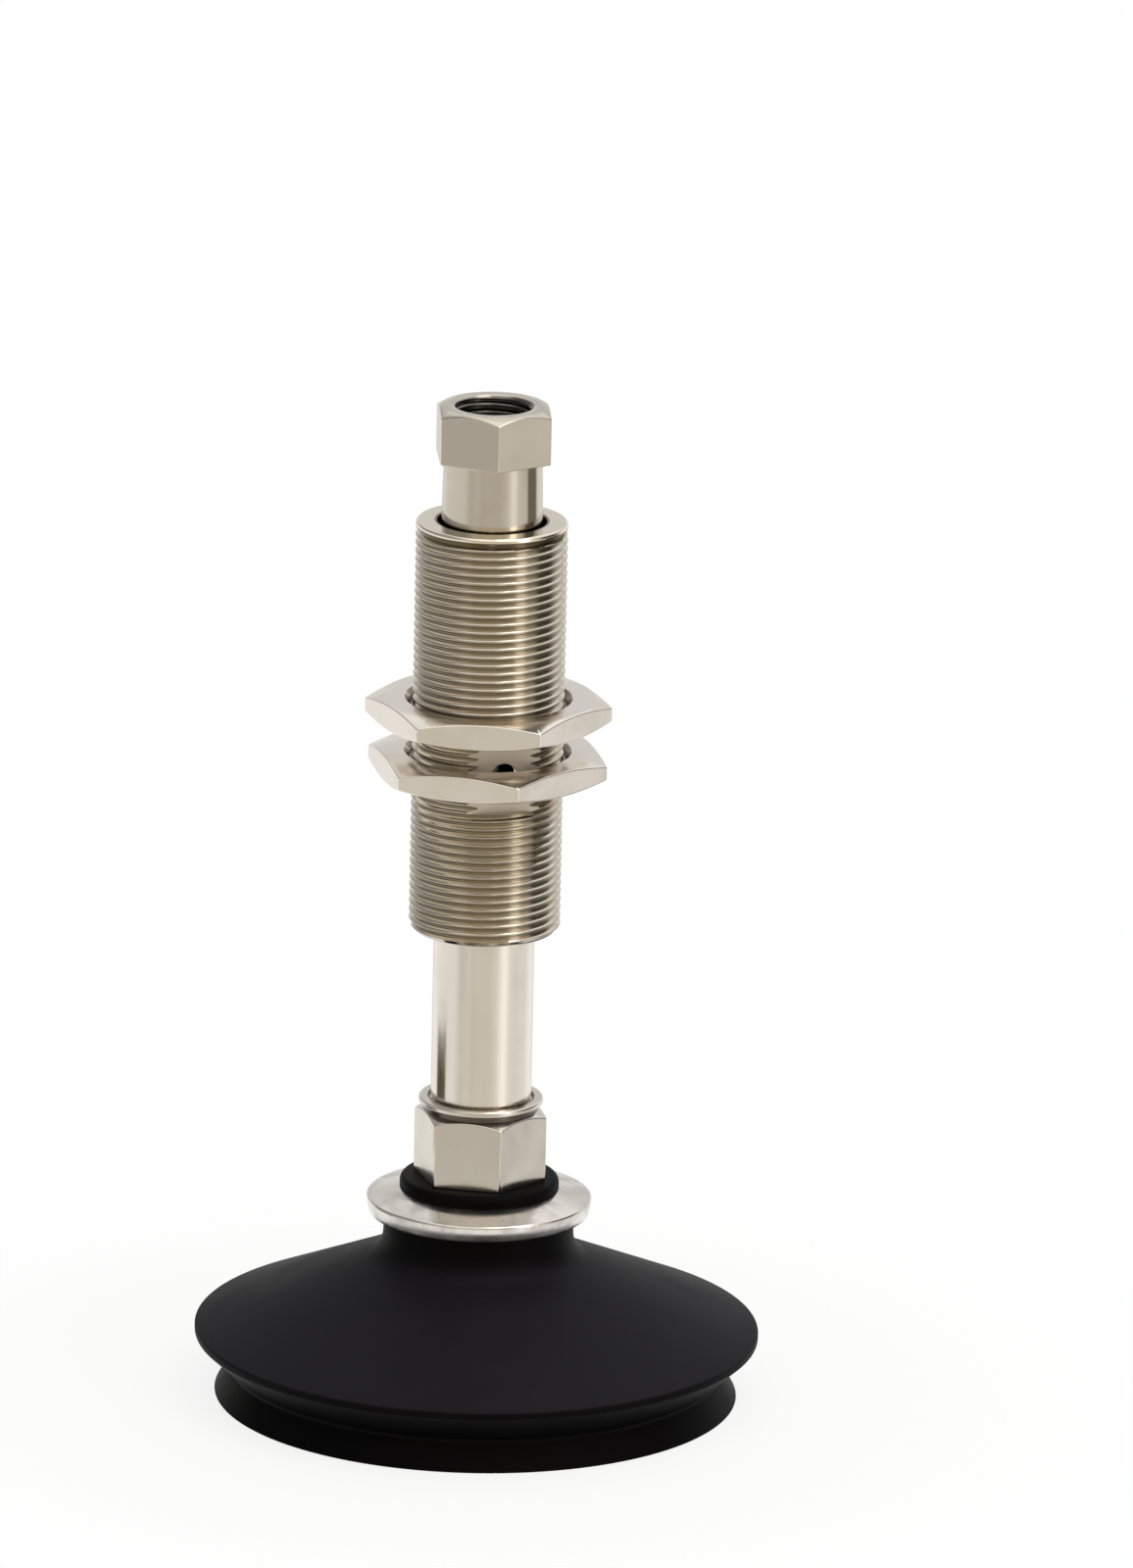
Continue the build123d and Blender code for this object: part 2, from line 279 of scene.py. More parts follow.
# ---------------------------------------------------------------------- meshes
class RingSkin:
    """A closed skin built from rings round the Z axis that share the same angles."""

    def __init__(self, angles: np.ndarray) -> None:
        """Starts an empty skin.

        Args:
            angles: The rising angles of every ring's points, in radians.
        """
        self.angles = angles
        self.radii: list[np.ndarray] = []
        self.heights: list[np.ndarray] = []
        self.shifts: dict[int, int] = {}
        self.threads: list[tuple[int, int]] = []

    def ring(self, radius: Numbers, height: Numbers) -> None:
        """Adds one ring.

        Args:
            radius: Its radius, or one per angle.
            height: Its height, or one per angle.
        """
        level = np.zeros_like(self.angles)
        self.radii.append(level + radius)
        self.heights.append(level + height)

    def rings(self, points: Sequence[tuple[Numbers, Numbers]]) -> None:
        """Adds a ring for each (radius, height)."""
        for radius, height in points:
            self.ring(radius, height)

    def thread(self, form: ThreadForm, low: float, high: float, limit: Limit,
               falling: bool = False) -> None:
        """Adds a helical length whose rows follow the thread, cut level at both ends.

        Args:
            form: The thread.
            low: Height of the lower end.
            high: Height of the upper end.
            limit: Changes the radius at a height, as a chamfer does.
            falling: True if the rows are added from the top down.
        """
        at, _ = form.stations()
        rows = len(at)
        pitches = math.ceil((high - low) / form.pitch) + 2
        first = len(self.radii)
        total = pitches * rows
        turns = self.angles - self.angles[0]
        order = range(total, -1, -1) if falling else range(total + 1)
        for row in order:
            rise = form.pitch * (row // rows + at[row % rows] - 1.0 - at[0])
            height = np.clip(low + rise + form.pitch * turns / (2.0 * math.pi), low, high)
            self.ring(limit(form.radius(height - low, turns), height), height)
        for step in range(total):
            self.shifts[first + step] = -rows if falling else rows
        self.threads.append((first, first + total))

    def faces(self, closed: bool) -> np.ndarray:
        """Lists the skin's four-sided faces.

        Args:
            closed: True if the last ring joins the first.

        Returns:
            Four point numbers per face.
        """
        count, total = len(self.angles), len(self.radii)
        found = []
        column = np.arange(count - 1)
        for ring in range(total if closed else total - 1):
            above = (ring + 1) % total
            here, there = ring * count, above * count
            found.append(np.column_stack((here + column, here + column + 1,
                                          there + column + 1, there + column)))
            last = count - 1
            shift = self.shifts.get(ring, 0)
            if not shift:
                found.append(np.array([[here + last, here, there, there + last]]))
                continue
            start, end = next(ends for ends in self.threads if ends[0] <= ring <= ends[1])
            low_side, high_side = ring + shift, above + shift
            if start <= low_side <= end and start <= high_side <= end:
                found.append(np.array([[here + last, low_side * count,
                                        high_side * count, there + last]]))
        return np.vstack(found)

    def mesh(self, name: str, closed: bool = True) -> bpy.types.Object:
        """Makes the skin's mesh object.

        Args:
            name: The object's name.
            closed: True if the last ring joins the first.

        Returns:
            The new object, in the scene, in metres.
        """
        turns = np.tile(self.angles, len(self.radii))
        radii, heights = np.concatenate(self.radii), np.concatenate(self.heights)
        spots = np.column_stack((radii * np.sin(turns), -radii * np.cos(turns), heights)) / METRE
        return solid(name, spots, self.faces(closed).tolist())


def add_object(name: str, data: bpy.types.ID) -> bpy.types.Object:
    """Makes an object and puts it in the scene.

    Args:
        name: Its name.
        data: Its mesh, camera or lamp.

    Returns:
        The object.
    """
    made = bpy.data.objects.new(name, data)
    bpy.context.scene.collection.objects.link(made)
    return made


def solid(name: str, points: np.ndarray, faces: Sequence[Sequence[int]]) -> bpy.types.Object:
    """Makes a closed mesh object, with coinciding points merged and its faces turned outward.

    Args:
        name: The object's name.
        points: Its points in metres.
        faces: Point numbers per face.

    Returns:
        The new object, in the scene.
    """
    mesh = bpy.data.meshes.new(name)
    mesh.from_pydata(points.tolist(), [], faces)
    form = bmesh.new()
    form.from_mesh(mesh)
    bmesh.ops.remove_doubles(form, verts=form.verts, dist=MERGE_M)
    bmesh.ops.dissolve_degenerate(form, edges=form.edges, dist=MERGE_M)
    bmesh.ops.recalc_face_normals(form, faces=form.faces)
    form.to_mesh(mesh)
    form.free()
    return add_object(name, mesh)


def loft(name: str, sections: Sequence[np.ndarray]) -> bpy.types.Object:
    """Makes a solid that joins closed sections in a row and is capped at both ends.

    Args:
        name: The object's name.
        sections: Points of each section, in the same order and number, in millimetres.

    Returns:
        The new object.
    """
    count, last = len(sections[0]), len(sections) - 1
    faces = [list(range(count)), [last * count + here for here in reversed(range(count))]]
    for low in range(0, last * count, count):
        for here in range(count):
            there = (here + 1) % count
            faces.append([low + here, low + there, low + count + there, low + count + here])
    return solid(name, np.concatenate(sections) / METRE, faces)


def turned(name: str, corners: Sequence[Corner], plan: RoundPlan = TUBE_PLAN) -> bpy.types.Object:
    """Makes a turned ring or disc from its closed outline.

    Args:
        name: The object's name.
        corners: The outline's corners in order.
        plan: The angles of its points.

    Returns:
        The new object.
    """
    skin = RingSkin(plan.angles())
    skin.rings(soften(corners))
    return skin.mesh(name)


def block(name: str, low: Sequence[float], high: Sequence[float]) -> bpy.types.Object:
    """Makes a plain box between two corners.

    Args:
        name: The object's name.
        low: Its lowest corner.
        high: Its highest corner.

    Returns:
        The new object.
    """
    ends = np.array((low, high))
    points = [(ends[i, 0], ends[j, 1], ends[k, 2]) for k in (0, 1) for j in (0, 1) for i in (0, 1)]
    faces = [(0, 2, 3, 1), (4, 5, 7, 6), (0, 1, 5, 4), (2, 6, 7, 3), (0, 4, 6, 2), (1, 3, 7, 5)]
    return solid(name, np.array(points) / METRE, faces)


def carve(piece: bpy.types.Object, tool: bpy.types.Object, cut: Cut) -> None:
    """Changes a piece by a second closed solid, which is then deleted.

    Args:
        piece: The piece to change.
        tool: The second solid.
        cut: Whether the tool is removed or added.
    """
    change = piece.modifiers.new("carve", "BOOLEAN")
    change.operation = cut.value
    change.solver = "MANIFOLD"
    change.object = tool
    seen = bpy.context.evaluated_depsgraph_get()
    seen.update()
    shaped = bpy.data.meshes.new_from_object(piece.evaluated_get(seen))
    piece.modifiers.clear()
    old, piece.data = piece.data, shaped
    bpy.data.meshes.remove(old)
    bpy.data.objects.remove(tool)


def aim(piece: bpy.types.Object, turn: float, height: float) -> None:
    """Moves a tool made upright at the origin so that its axis points outward from the Z axis.

    Args:
        piece: The tool.
        turn: The direction that it points in.
        height: Height of its axis.
    """
    upright, level = Vector((0.0, 0.0, 1.0)), Vector((1.0, 0.0, 0.0))
    lay = Quaternion(upright, math.radians(turn)) @ Quaternion(level, math.radians(90.0))
    moved = lay.to_matrix().to_4x4()
    moved.translation = (0.0, 0.0, height / METRE)
    piece.data.transform(moved)


def spin(piece: bpy.types.Object, turn: float) -> None:
    """Turns a piece's mesh about the Z axis, in degrees."""
    piece.data.transform(Matrix.Rotation(math.radians(turn), 4, "Z"))


def polish(piece: bpy.types.Object) -> None:
    """Shades a piece smooth, keeps its sharp edges, and lets its large faces set the shading.

    Args:
        piece: The piece.
    """
    piece.data.shade_smooth()
    piece.data.set_sharp_from_angle(angle=SMOOTH_ANGLE)
    weigh = piece.modifiers.new("weigh", "WEIGHTED_NORMAL")
    weigh.mode = "FACE_AREA"
    weigh.keep_sharp = True


# ---------------------------------------------------------------------- shader maths
@dataclass(frozen=True)
class Band:
    """A range of a value, with soft ends.

    Args:
        centre: Its middle.
        half: Half of its full width.
        soft: Width of each soft end.
    """

    centre: float
    half: float
    soft: float


class Value:
    """A node socket that Python arithmetic can use; each operator adds a Math node."""

    def __init__(self, recipe: "Recipe", socket: bpy.types.NodeSocket) -> None:
        """Wraps an output socket.

        Args:
            recipe: The node tree that the socket is in.
            socket: The output.
        """
        self.recipe = recipe
        self.socket = socket

    def math(self, operation: str, *terms: "Term") -> "Value":
        """Adds a Math node over the given terms.

        Args:
            operation: Its operation.
            *terms: Its inputs in order.

        Returns:
            Its result.
        """
        made = self.recipe.node("ShaderNodeMath", {"operation": operation}, dict(enumerate(terms)))
        return Value(self.recipe, made.outputs[0])

    def __add__(self, other: "Term") -> "Value":
        """Adds."""
        return self.math("ADD", self, other)

    def __radd__(self, other: "Term") -> "Value":
        """Adds, from the right."""
        return self.math("ADD", other, self)

    def __sub__(self, other: "Term") -> "Value":
        """Takes away."""
        return self.math("SUBTRACT", self, other)

    def __rsub__(self, other: "Term") -> "Value":
        """Takes this away from the other."""
        return self.math("SUBTRACT", other, self)

    def __mul__(self, other: "Term") -> "Value":
        """Multiplies."""
        return self.math("MULTIPLY", self, other)

    def __rmul__(self, other: "Term") -> "Value":
        """Multiplies, from the right."""
        return self.math("MULTIPLY", other, self)

    def __truediv__(self, other: "Term") -> "Value":
        """Divides."""
        return self.math("DIVIDE", self, other)

    def __rtruediv__(self, other: "Term") -> "Value":
        """Divides the other by this."""
        return self.math("DIVIDE", other, self)

    def __abs__(self) -> "Value":
        """Drops the sign."""
        return self.math("ABSOLUTE", self)

    def most(self, other: "Term") -> "Value":
        """Takes the larger of the two."""
        return self.math("MAXIMUM", self, other)

    def power(self, exponent: float) -> "Value":
        """Raises to a power."""
        return self.math("POWER", self, exponent)

    def ramp(self, start: float, end: float) -> "Value":
        """Rises smoothly from 0 at start to 1 at end.

        Args:
            start: The value that gives 0.
            end: The value that gives 1, above or below start.

        Returns:
            The smooth step.
        """
        low, high = sorted((start, end))
        settings = {"interpolation_type": "SMOOTHSTEP", "clamp": True}
        sockets = {"Value": self, "From Min": low, "From Max": high}
        made = self.recipe.node("ShaderNodeMapRange", settings, sockets)
        step = Value(self.recipe, made.outputs["Result"])
        return step if start < end else 1.0 - step

    def band(self, band: Band) -> "Value":
        """Gives 1 within a band and falls smoothly to 0 over its soft ends."""
        return abs(self - band.centre).ramp(band.half + band.soft, band.half)


Term = Union[Value, float, bpy.types.NodeSocket]


class Recipe:
    """The node tree of a material or of the world, filled one node at a time."""

    def __init__(self, tree: bpy.types.NodeTree) -> None:
        """Empties a node tree.

        Args:
            tree: The tree.
        """
        self.tree = tree
        tree.nodes.clear()

    def node(self, kind: str, settings: Optional[Mapping[str, object]] = None,
             sockets: Optional[Mapping[Union[str, int], object]] = None) -> bpy.types.Node:
        """Makes one node: its settings first, then the values or links of its sockets.

        Args:
            kind: The node's type.
            settings: Its properties; "stops" gives a colour ramp's positions and colours.
            sockets: A number, a colour, an output or a Value per input name or index.

        Returns:
            The node.
        """
        made = self.tree.nodes.new(kind)
        for name, setting in (settings or {}).items():
            if name == "stops":
                self._stops(made, setting)
            else:
                setattr(made, name, setting)
        for name, given in (sockets or {}).items():
            entry = self._entry(made, name)
            source = given.socket if isinstance(given, Value) else given
            if isinstance(source, bpy.types.NodeSocket):
                self.tree.links.new(source, entry)
            elif entry.type == "RGBA":
                entry.default_value = (*source, 1.0)
            else:
                entry.default_value = source
        return made

    @staticmethod
    def _entry(made: bpy.types.Node, name: Union[str, int]) -> bpy.types.NodeSocket:
        """Finds an input among those that the settings leave in use.

        Args:
            made: The node.
            name: The input's name or index.

        Returns:
            The input.
        """
        if isinstance(name, int):
            return made.inputs[name]
        return next(entry for entry in made.inputs if entry.name == name and entry.enabled)

    @staticmethod
    def _stops(made: bpy.types.Node, stops: Sequence[tuple[float, Colour]]) -> None:
        """Sets a colour ramp's stops.

        Args:
            made: The ramp's node.
            stops: Pairs of position and colour.
        """
        elements = made.color_ramp.elements
        while len(elements) < len(stops):
            elements.new(1.0)
        for element, (position, colour) in zip(elements, stops):
            element.position = position
            element.color = (*colour, 1.0)

    def vector(self, operation: str, *terms: object) -> bpy.types.NodeSocket:
        """Adds a Vector Math node and returns its vector."""
        made = self.node("ShaderNodeVectorMath", {"operation": operation}, dict(enumerate(terms)))
        return made.outputs["Vector"]

    def join(self, x: Term, y: Term, z: Term) -> bpy.types.NodeSocket:
        """Makes a vector of three numbers."""
        return self.node("ShaderNodeCombineXYZ", None, {"X": x, "Y": y, "Z": z}).outputs["Vector"]

    def split(self, vector: bpy.types.NodeSocket) -> tuple[Value, Value, Value]:
        """Takes a vector apart."""
        parts = self.node("ShaderNodeSeparateXYZ", None, {"Vector": vector})
        return tuple(Value(self, output) for output in parts.outputs)

    def blend(self, share: Term, first: object, second: object) -> bpy.types.NodeSocket:
        """Mixes two colours.

        Args:
            share: 0 for the first, 1 for the second.
            first: A colour or an output.
            second: A colour or an output.

        Returns:
            The mixed colour.
        """
        sockets = {"Factor": share, "A": first, "B": second}
        made = self.node("ShaderNodeMix", {"data_type": "RGBA"}, sockets)
        return next(output for output in made.outputs if output.type == "RGBA" and output.enabled)

    def noise(self, vector: bpy.types.NodeSocket, scale: float, detail: float) -> Value:
        """Adds noise that averages a half."""
        sockets = {"Vector": vector, "Scale": scale, "Detail": detail}
        return Value(self, self.node("ShaderNodeTexNoise", None, sockets).outputs[0])

    def bump(self, height: Value, depth: float) -> bpy.types.NodeSocket:
        """Turns a height of 0 to 1 into a normal, where 1 is as deep as depth."""
        sockets = {"Distance": depth / METRE, "Height": height}
        return self.node("ShaderNodeBump", None, sockets).outputs["Normal"]

    def cover(self, share: Term, first: bpy.types.Node, second: bpy.types.Node) -> bpy.types.Node:
        """Mixes two shaders.

        Args:
            share: 0 for the first, 1 for the second.
            first: A shader.
            second: A shader.

        Returns:
            The mixed shader.
        """
        sockets = {0: share, 1: first.outputs[0], 2: second.outputs[0]}
        return self.node("ShaderNodeMixShader", None, sockets)

    def end(self, kind: str, shader: bpy.types.Node) -> None:
        """Links a shader to a new output node."""
        self.node(kind, None, {"Surface": shader.outputs[0]})


@dataclass(frozen=True)
class Spot:
    """A place on a surface.

    Args:
        recipe: The tree that reads it.
        place: The place as a vector.
        x: Its part along X.
        y: Its part along Y.
        height: Its part along Z.
        radius: Its distance from the Z axis.
    """

    recipe: Recipe
    place: bpy.types.NodeSocket
    x: Value
    y: Value
    height: Value
    radius: Value

    @classmethod
    def on(cls, recipe: Recipe) -> "Spot":
        """Reads the place in the tree's material.

        Args:
            recipe: The tree.

        Returns:
            The place.
        """
        local = recipe.node("ShaderNodeTexCoord").outputs["Object"]
        place = recipe.vector("MULTIPLY", local, (METRE, METRE, METRE))
        x, y, height = recipe.split(place)
        return cls(recipe, place, x, y, height, (x * x + y * y).power(0.5))

    def noise(self, scale: float, detail: float) -> Value:
        """Adds noise that averages a half."""
        return self.recipe.noise(self.place, scale, detail)


# ---------------------------------------------------------------------- finishes
@dataclass(frozen=True)
class Patches:
    """Soft patches of noise.

    Args:
        scale: How close they lie, per millimetre.
        detail: How many finer layers of noise they have.
        start: Level of the noise at which a patch starts.
        full: Level at which it is full.
    """

    scale: float
    detail: float
    start: float
    full: float

    def share(self, spot: Spot) -> Value:
        """Gives the share of patch at a place."""
        return spot.noise(self.scale, self.detail).ramp(self.start, self.full)


SMUDGES = Patches(0.22, 4.0, 0.38, 0.72)
SPECKS = Patches(1.7, 2.0, 0.50, 0.78)
SMUDGE_SHARE, SPECK_SHARE = 0.55, 0.15    # how far they take the colour to its dull one
TURNING_SCALE, TURNING_DETAIL = 5.5, 5.0  # of the turning marks
TURNING_ROUGHNESS = 0.8                   # roughness of the marks, as a share of the smudges'
SHADE_AND_GRIME_ROUGHNESS = 0.04                     # roughness that the painted shade and dirt add
EDGE_START, EDGE_FULL = 0.53, 0.62        # pointiness at which the lighter edge starts and is full
EDGE_SHARE, EDGE_SHINE = 0.35, 1.12       # share of a brighter colour on an edge, a painted highlight with some wear, and how much brighter

CLOUDS = Patches(0.09, 4.0, 0.40, 0.75)
DUST = Patches(2.6, 3.0, 0.62, 0.86)
# Shares of the lighter top colour: painted light all over the top, and more in cloudy patches and
# dust specks.
TOP_LIGHT_SHARE, CLOUD_SHARE, DUST_SHARE = 0.74, 0.20, 0.14
TOP_LIGHT_UP = (-0.15, 0.75)                  # upward part of the normal where the painted top light starts and is full
TOP_LIGHT_RADII = (9.8, 13.0)                 # radii where it starts and is full
TOP_LIGHT_HEIGHTS = (5.0, 9.0)                # heights where it starts and is full
GRAIN_SCALE, GRAIN_DETAIL = 7.0, 3.0      # of the moulded grain
CLOUD_ROUGHNESS, GRAIN_ROUGHNESS = 0.08, 0.12


class Finish(ABC):
    """A finish: it makes one material from its own values."""

    name: str

    def material(self) -> bpy.types.Material:
        """Makes the material, or returns it if it is there.

        Returns:
            The material, which lights nothing else.
        """
        known = bpy.data.materials.get(self.name)
        if known is not None:
            return known
        made = bpy.data.materials.new(self.name)
        made.use_nodes = True
        recipe = Recipe(made.node_tree)
        recipe.end("ShaderNodeOutputMaterial", self.shader(recipe))
        made.cycles.emission_sampling = "NONE"
        return made

    @abstractmethod
    def shader(self, recipe: Recipe) -> bpy.types.Node:
        """Fills the node tree and returns its shader."""


@dataclass(frozen=True)
class MilledFlat:
    """A dull flat milled across a turned piece.

    Args:
        turn: Direction that it faces.
        plane: Its distance from the Z axis.
        heights: Its heights.
        tint: Its colour.
        roughness: Roughness that it adds.
        metal: Share of metal that it takes away.
    """

    turn: float
    plane: Band
    heights: Band
    tint: Colour
    roughness: float
    metal: float

    def share(self, spot: Spot) -> Value:
        """Gives the share of the flat at a place.

        Args:
            spot: The place.

        Returns:
            The share.
        """
        lean = math.radians(self.turn)
        out = spot.x * math.sin(lean) - spot.y * math.cos(lean)
        return out.band(self.plane) * spot.height.band(self.heights)


@dataclass(frozen=True)
class Plate(Finish):
    """Plated or plain metal with turning marks, faint smudges, and painted shade in its hollows.

    Args:
        name: The material's name.
        tint: Colour of the clean metal.
        dull: Colour where it is smudged.
        roughness: Roughness where it is clean.
        smudge: Roughness that the smudges add.
        marks: Depth of the turning marks.
        shade_and_grime: Colour of the painted shade in its hollows, and of the dirt in a thread's
            roots.
        deepest: Share of painted shade in the mouth and the groove.
        mouth: Radii of a mouth with painted shade.
        groove: Heights of a groove with painted shade.
        flat: A milled flat.
    """

    name: str
    tint: Colour
    dull: Colour
    roughness: float
    smudge: float
    marks: float
    shade_and_grime: Colour = BLACK
    deepest: float = 1.0
    mouth: Optional[Band] = None
    groove: Optional[Band] = None
    flat: Optional[MilledFlat] = None

    def shade_and_grime_share(self, spot: Spot) -> Optional[Value]:
        """Gives the share of painted shade at a place.

        Args:
            spot: The place.

        Returns:
            The share, or nothing if the piece has no painted shade.
        """
        soiled = ((spot.radius, self.mouth), (spot.height, self.groove))
        shares = [value.band(band) for value, band in soiled if band is not None]
        return reduce(Value.most, shares) * self.deepest if shares else None

    def shader(self, recipe: Recipe) -> bpy.types.Node:
        """Fills the node tree.

        Args:
            recipe: The tree.

        Returns:
            The Principled shader.
        """
        spot = Spot.on(recipe)
        smudges, specks = SMUDGES.share(spot), SPECKS.share(spot)
        profile = recipe.join(spot.radius, spot.height, 0.0)
        marks = recipe.noise(profile, TURNING_SCALE, TURNING_DETAIL)
        colour = recipe.blend(smudges * SMUDGE_SHARE + specks * SPECK_SHARE, self.tint, self.dull)
        rough = self.roughness + smudges * self.smudge
        rough = rough + (marks - 0.5) * (self.smudge * TURNING_ROUGHNESS)
        # Painted shade: a darker, duller colour in the mouth, the groove and other hollows.
        shade_and_grime_amount = self.shade_and_grime_share(spot)
        if shade_and_grime_amount is not None:
            colour = recipe.blend(shade_and_grime_amount, colour, self.shade_and_grime)
            rough = rough + shade_and_grime_amount * SHADE_AND_GRIME_ROUGHNESS
        metal: Term = 1.0
        if self.flat is not None:
            milled = self.flat.share(spot)
            colour = recipe.blend(milled, colour, self.flat.tint)
            rough = rough + milled * self.flat.roughness
            metal = 1.0 - milled * self.flat.metal
        # Painted highlight, with some wear: a lighter colour on sharp convex edges.
        edges = Value(recipe, recipe.node("ShaderNodeNewGeometry").outputs["Pointiness"])
        bright = tuple(min(1.0, part * EDGE_SHINE) for part in self.tint)
        colour = recipe.blend(edges.ramp(EDGE_START, EDGE_FULL) * EDGE_SHARE, colour, bright)
        return recipe.node("ShaderNodeBsdfPrincipled", None, {
            "Base Color": colour, "Metallic": metal, "Roughness": rough,
            "Normal": recipe.bump(marks, self.marks)})


@dataclass(frozen=True, kw_only=True)
class ThreadedPlate(Plate):
    """Plated metal with an oily thread, painted shade with oily dirt in its roots, and painted
    shade on its crests.

    Args:
        roots: Radii of the thread's roots.
        root_shade_and_grime: Share of painted shade and oily dirt in the roots.
        film: Share of the dark colour all over the thread, as its oil film.
        crests: Radii at which the painted shade on the crests starts and is full.
        crest_shade: Share of painted shade that it adds, which dims the crests' highlights.
        top: Height at which the thread ends.
        fade: Height over which its dark colour ends.
    """

    roots: Band
    root_shade_and_grime: float
    film: float
    crests: tuple[float, float]
    crest_shade: float
    top: float
    fade: float

    def shade_and_grime_share(self, spot: Spot) -> Value:
        """Gives the share of oil film and painted shade at a place.

        Args:
            spot: The place.

        Returns:
            The share.
        """
        # Painted shade with oily dirt in the roots, painted shade that dims the crests, and an oil
        # film all over.
        roots = spot.radius.band(self.roots) * (1.0 - self.flat.share(spot))
        crests = spot.radius.ramp(*self.crests) * self.crest_shade
        thread = self.film + roots * (self.root_shade_and_grime - self.film) + crests
        return (thread * spot.height.ramp(self.top + self.fade, self.top)).most(super().shade_and_grime_share(spot))


@dataclass(frozen=True, kw_only=True)
class BoredPlate(Plate):
    """Plated metal with a hole along Z that is dull inside, with painted shade in it.

    Args:
        hole: Radius that the hole stays within, and a little more, where it counts as outside.
        depths: Heights at which the hole is as light as the outside, and at which its painted shade
            and dullness are full.
    """

    hole: tuple[float, float]
    depths: tuple[float, float]

    def shade_and_grime_share(self, spot: Spot) -> Value:
        """Gives the share of painted shade at a place."""
        # Painted shade inside the hole, full below its mouth's edge.
        outside, inside = self.hole[1], self.hole[0]
        return spot.radius.ramp(outside, inside) * spot.height.ramp(*self.depths) * self.deepest


@dataclass(frozen=True)
class Rubber(Finish):
    """Moulded rubber: dark, satin, with a fine grain, and painted light with dust on its upward
    faces.

    Args:
        name: The material's name.
        tint: Its colour.
        dust_and_top_light: Colour of the painted light and the dust on its upward faces.
        roughness: Its roughness.
        level: How strongly it reflects, against the usual half.
        grain: Depth of the moulded grain.
    """

    name: str
    tint: Colour
    dust_and_top_light: Colour
    roughness: float
    level: float
    grain: float

    def shader(self, recipe: Recipe) -> bpy.types.Node:
        """Fills the node tree.

        Args:
            recipe: The tree.

        Returns:
            The Principled shader.
        """
        spot = Spot.on(recipe)
        cloud, dust = CLOUDS.share(spot), DUST.share(spot)
        grain = spot.noise(GRAIN_SCALE, GRAIN_DETAIL)
        _, _, up = recipe.split(recipe.node("ShaderNodeNewGeometry").outputs["Normal"])
        # Painted light with dust: the dome's upward faces, high and far out, are lighter, and the
        # lower parts stay dark.
        dusty_lit_top = up.ramp(*TOP_LIGHT_UP) * spot.radius.ramp(*TOP_LIGHT_RADII)
        dusty_lit_top = dusty_lit_top * spot.height.ramp(*TOP_LIGHT_HEIGHTS)
        dust_and_top_light = dusty_lit_top * (TOP_LIGHT_SHARE + cloud * CLOUD_SHARE + dust * DUST_SHARE)
        return recipe.node("ShaderNodeBsdfPrincipled", None, {
            "Base Color": recipe.blend(dust_and_top_light, self.tint, self.dust_and_top_light),
            "Roughness": self.roughness + cloud * CLOUD_ROUGHNESS + (grain - 0.5) * GRAIN_ROUGHNESS,
            "Specular IOR Level": self.level,
            "Normal": recipe.bump(grain, self.grain)})


# Painted shade in the gap round the port's neck, in the undercut groove and on the crests, with
# oily dirt in the thread's roots.
NICKEL_SLEEVE = ThreadedPlate(
    "nickel_sleeve_finish", (0.88, 0.81, 0.71), (0.82, 0.74, 0.63), 0.10, 0.04, 0.0006,
    shade_and_grime=(0.10, 0.075, 0.03), deepest=0.97, mouth=Band(6.62, 0.12, 0.12),
    groove=Band(107.18, 0.26, 0.08), roots=Band(8.40, 0.05, 0.09), root_shade_and_grime=0.72, film=0.30,
    crests=(8.90, 8.98), crest_shade=0.21, top=106.87, fade=0.05, flat=MilledFlat(
        14.5, Band(7.85, 0.02, 0.03), Band(78.8, 4.5, 0.1), (0.62, 0.56, 0.50), 0.30, 0.65))
# Painted shade in the countersinks round the bore.
NICKEL_NUT = Plate(
    "nickel_nut_finish", (0.87, 0.82, 0.76), (0.80, 0.74, 0.67), 0.17, 0.07, 0.0012,
    shade_and_grime=(0.16, 0.11, 0.06), deepest=0.85, mouth=Band(9.45, 0.42, 0.12))
NICKEL_ROD = Plate(
    "nickel_rod_finish", (0.88, 0.83, 0.76), (0.83, 0.78, 0.70), 0.15, 0.05, 0.0006)
NICKEL_PORT = BoredPlate(
    "nickel_port_finish", (0.64, 0.59, 0.51), (0.58, 0.53, 0.45), 0.13, 0.05, 0.0010,
    shade_and_grime=(0.05, 0.045, 0.045), deepest=0.85, hole=(4.95, 4.97), depths=(122.05, 121.75))
# Painted shade on the recess's rim round the rod and in the waist groove under the disc.
NICKEL_ADAPTER = Plate(
    "nickel_adapter_finish", (0.72, 0.68, 0.62), (0.65, 0.61, 0.54), 0.18, 0.07, 0.001,
    shade_and_grime=(0.055, 0.040, 0.030), deepest=0.9, mouth=Band(6.2, 0.1, 0.12),
    groove=Band(36.02, 0.40, 0.08))
NICKEL_RING = Plate(
    "nickel_ring_finish", (0.80, 0.76, 0.72), (0.36, 0.33, 0.31), 0.15, 0.16, 0.002)
BRONZE = Plate("sintered_bronze", (0.50, 0.33, 0.17), (0.38, 0.24, 0.12), 0.42, 0.12, 0.004)
SPRING_STEEL = Plate("spring_wire", (0.42, 0.41, 0.40), (0.33, 0.32, 0.31), 0.30, 0.10, 0.001)
SEAT_STEEL = Plate("ground_steel", (0.52, 0.51, 0.50), (0.43, 0.42, 0.40), 0.28, 0.12, 0.002)
FILTER_STEEL = Plate(
    "filter_steel_finish", (0.60, 0.59, 0.57), (0.48, 0.47, 0.45), 0.26, 0.12, 0.002)
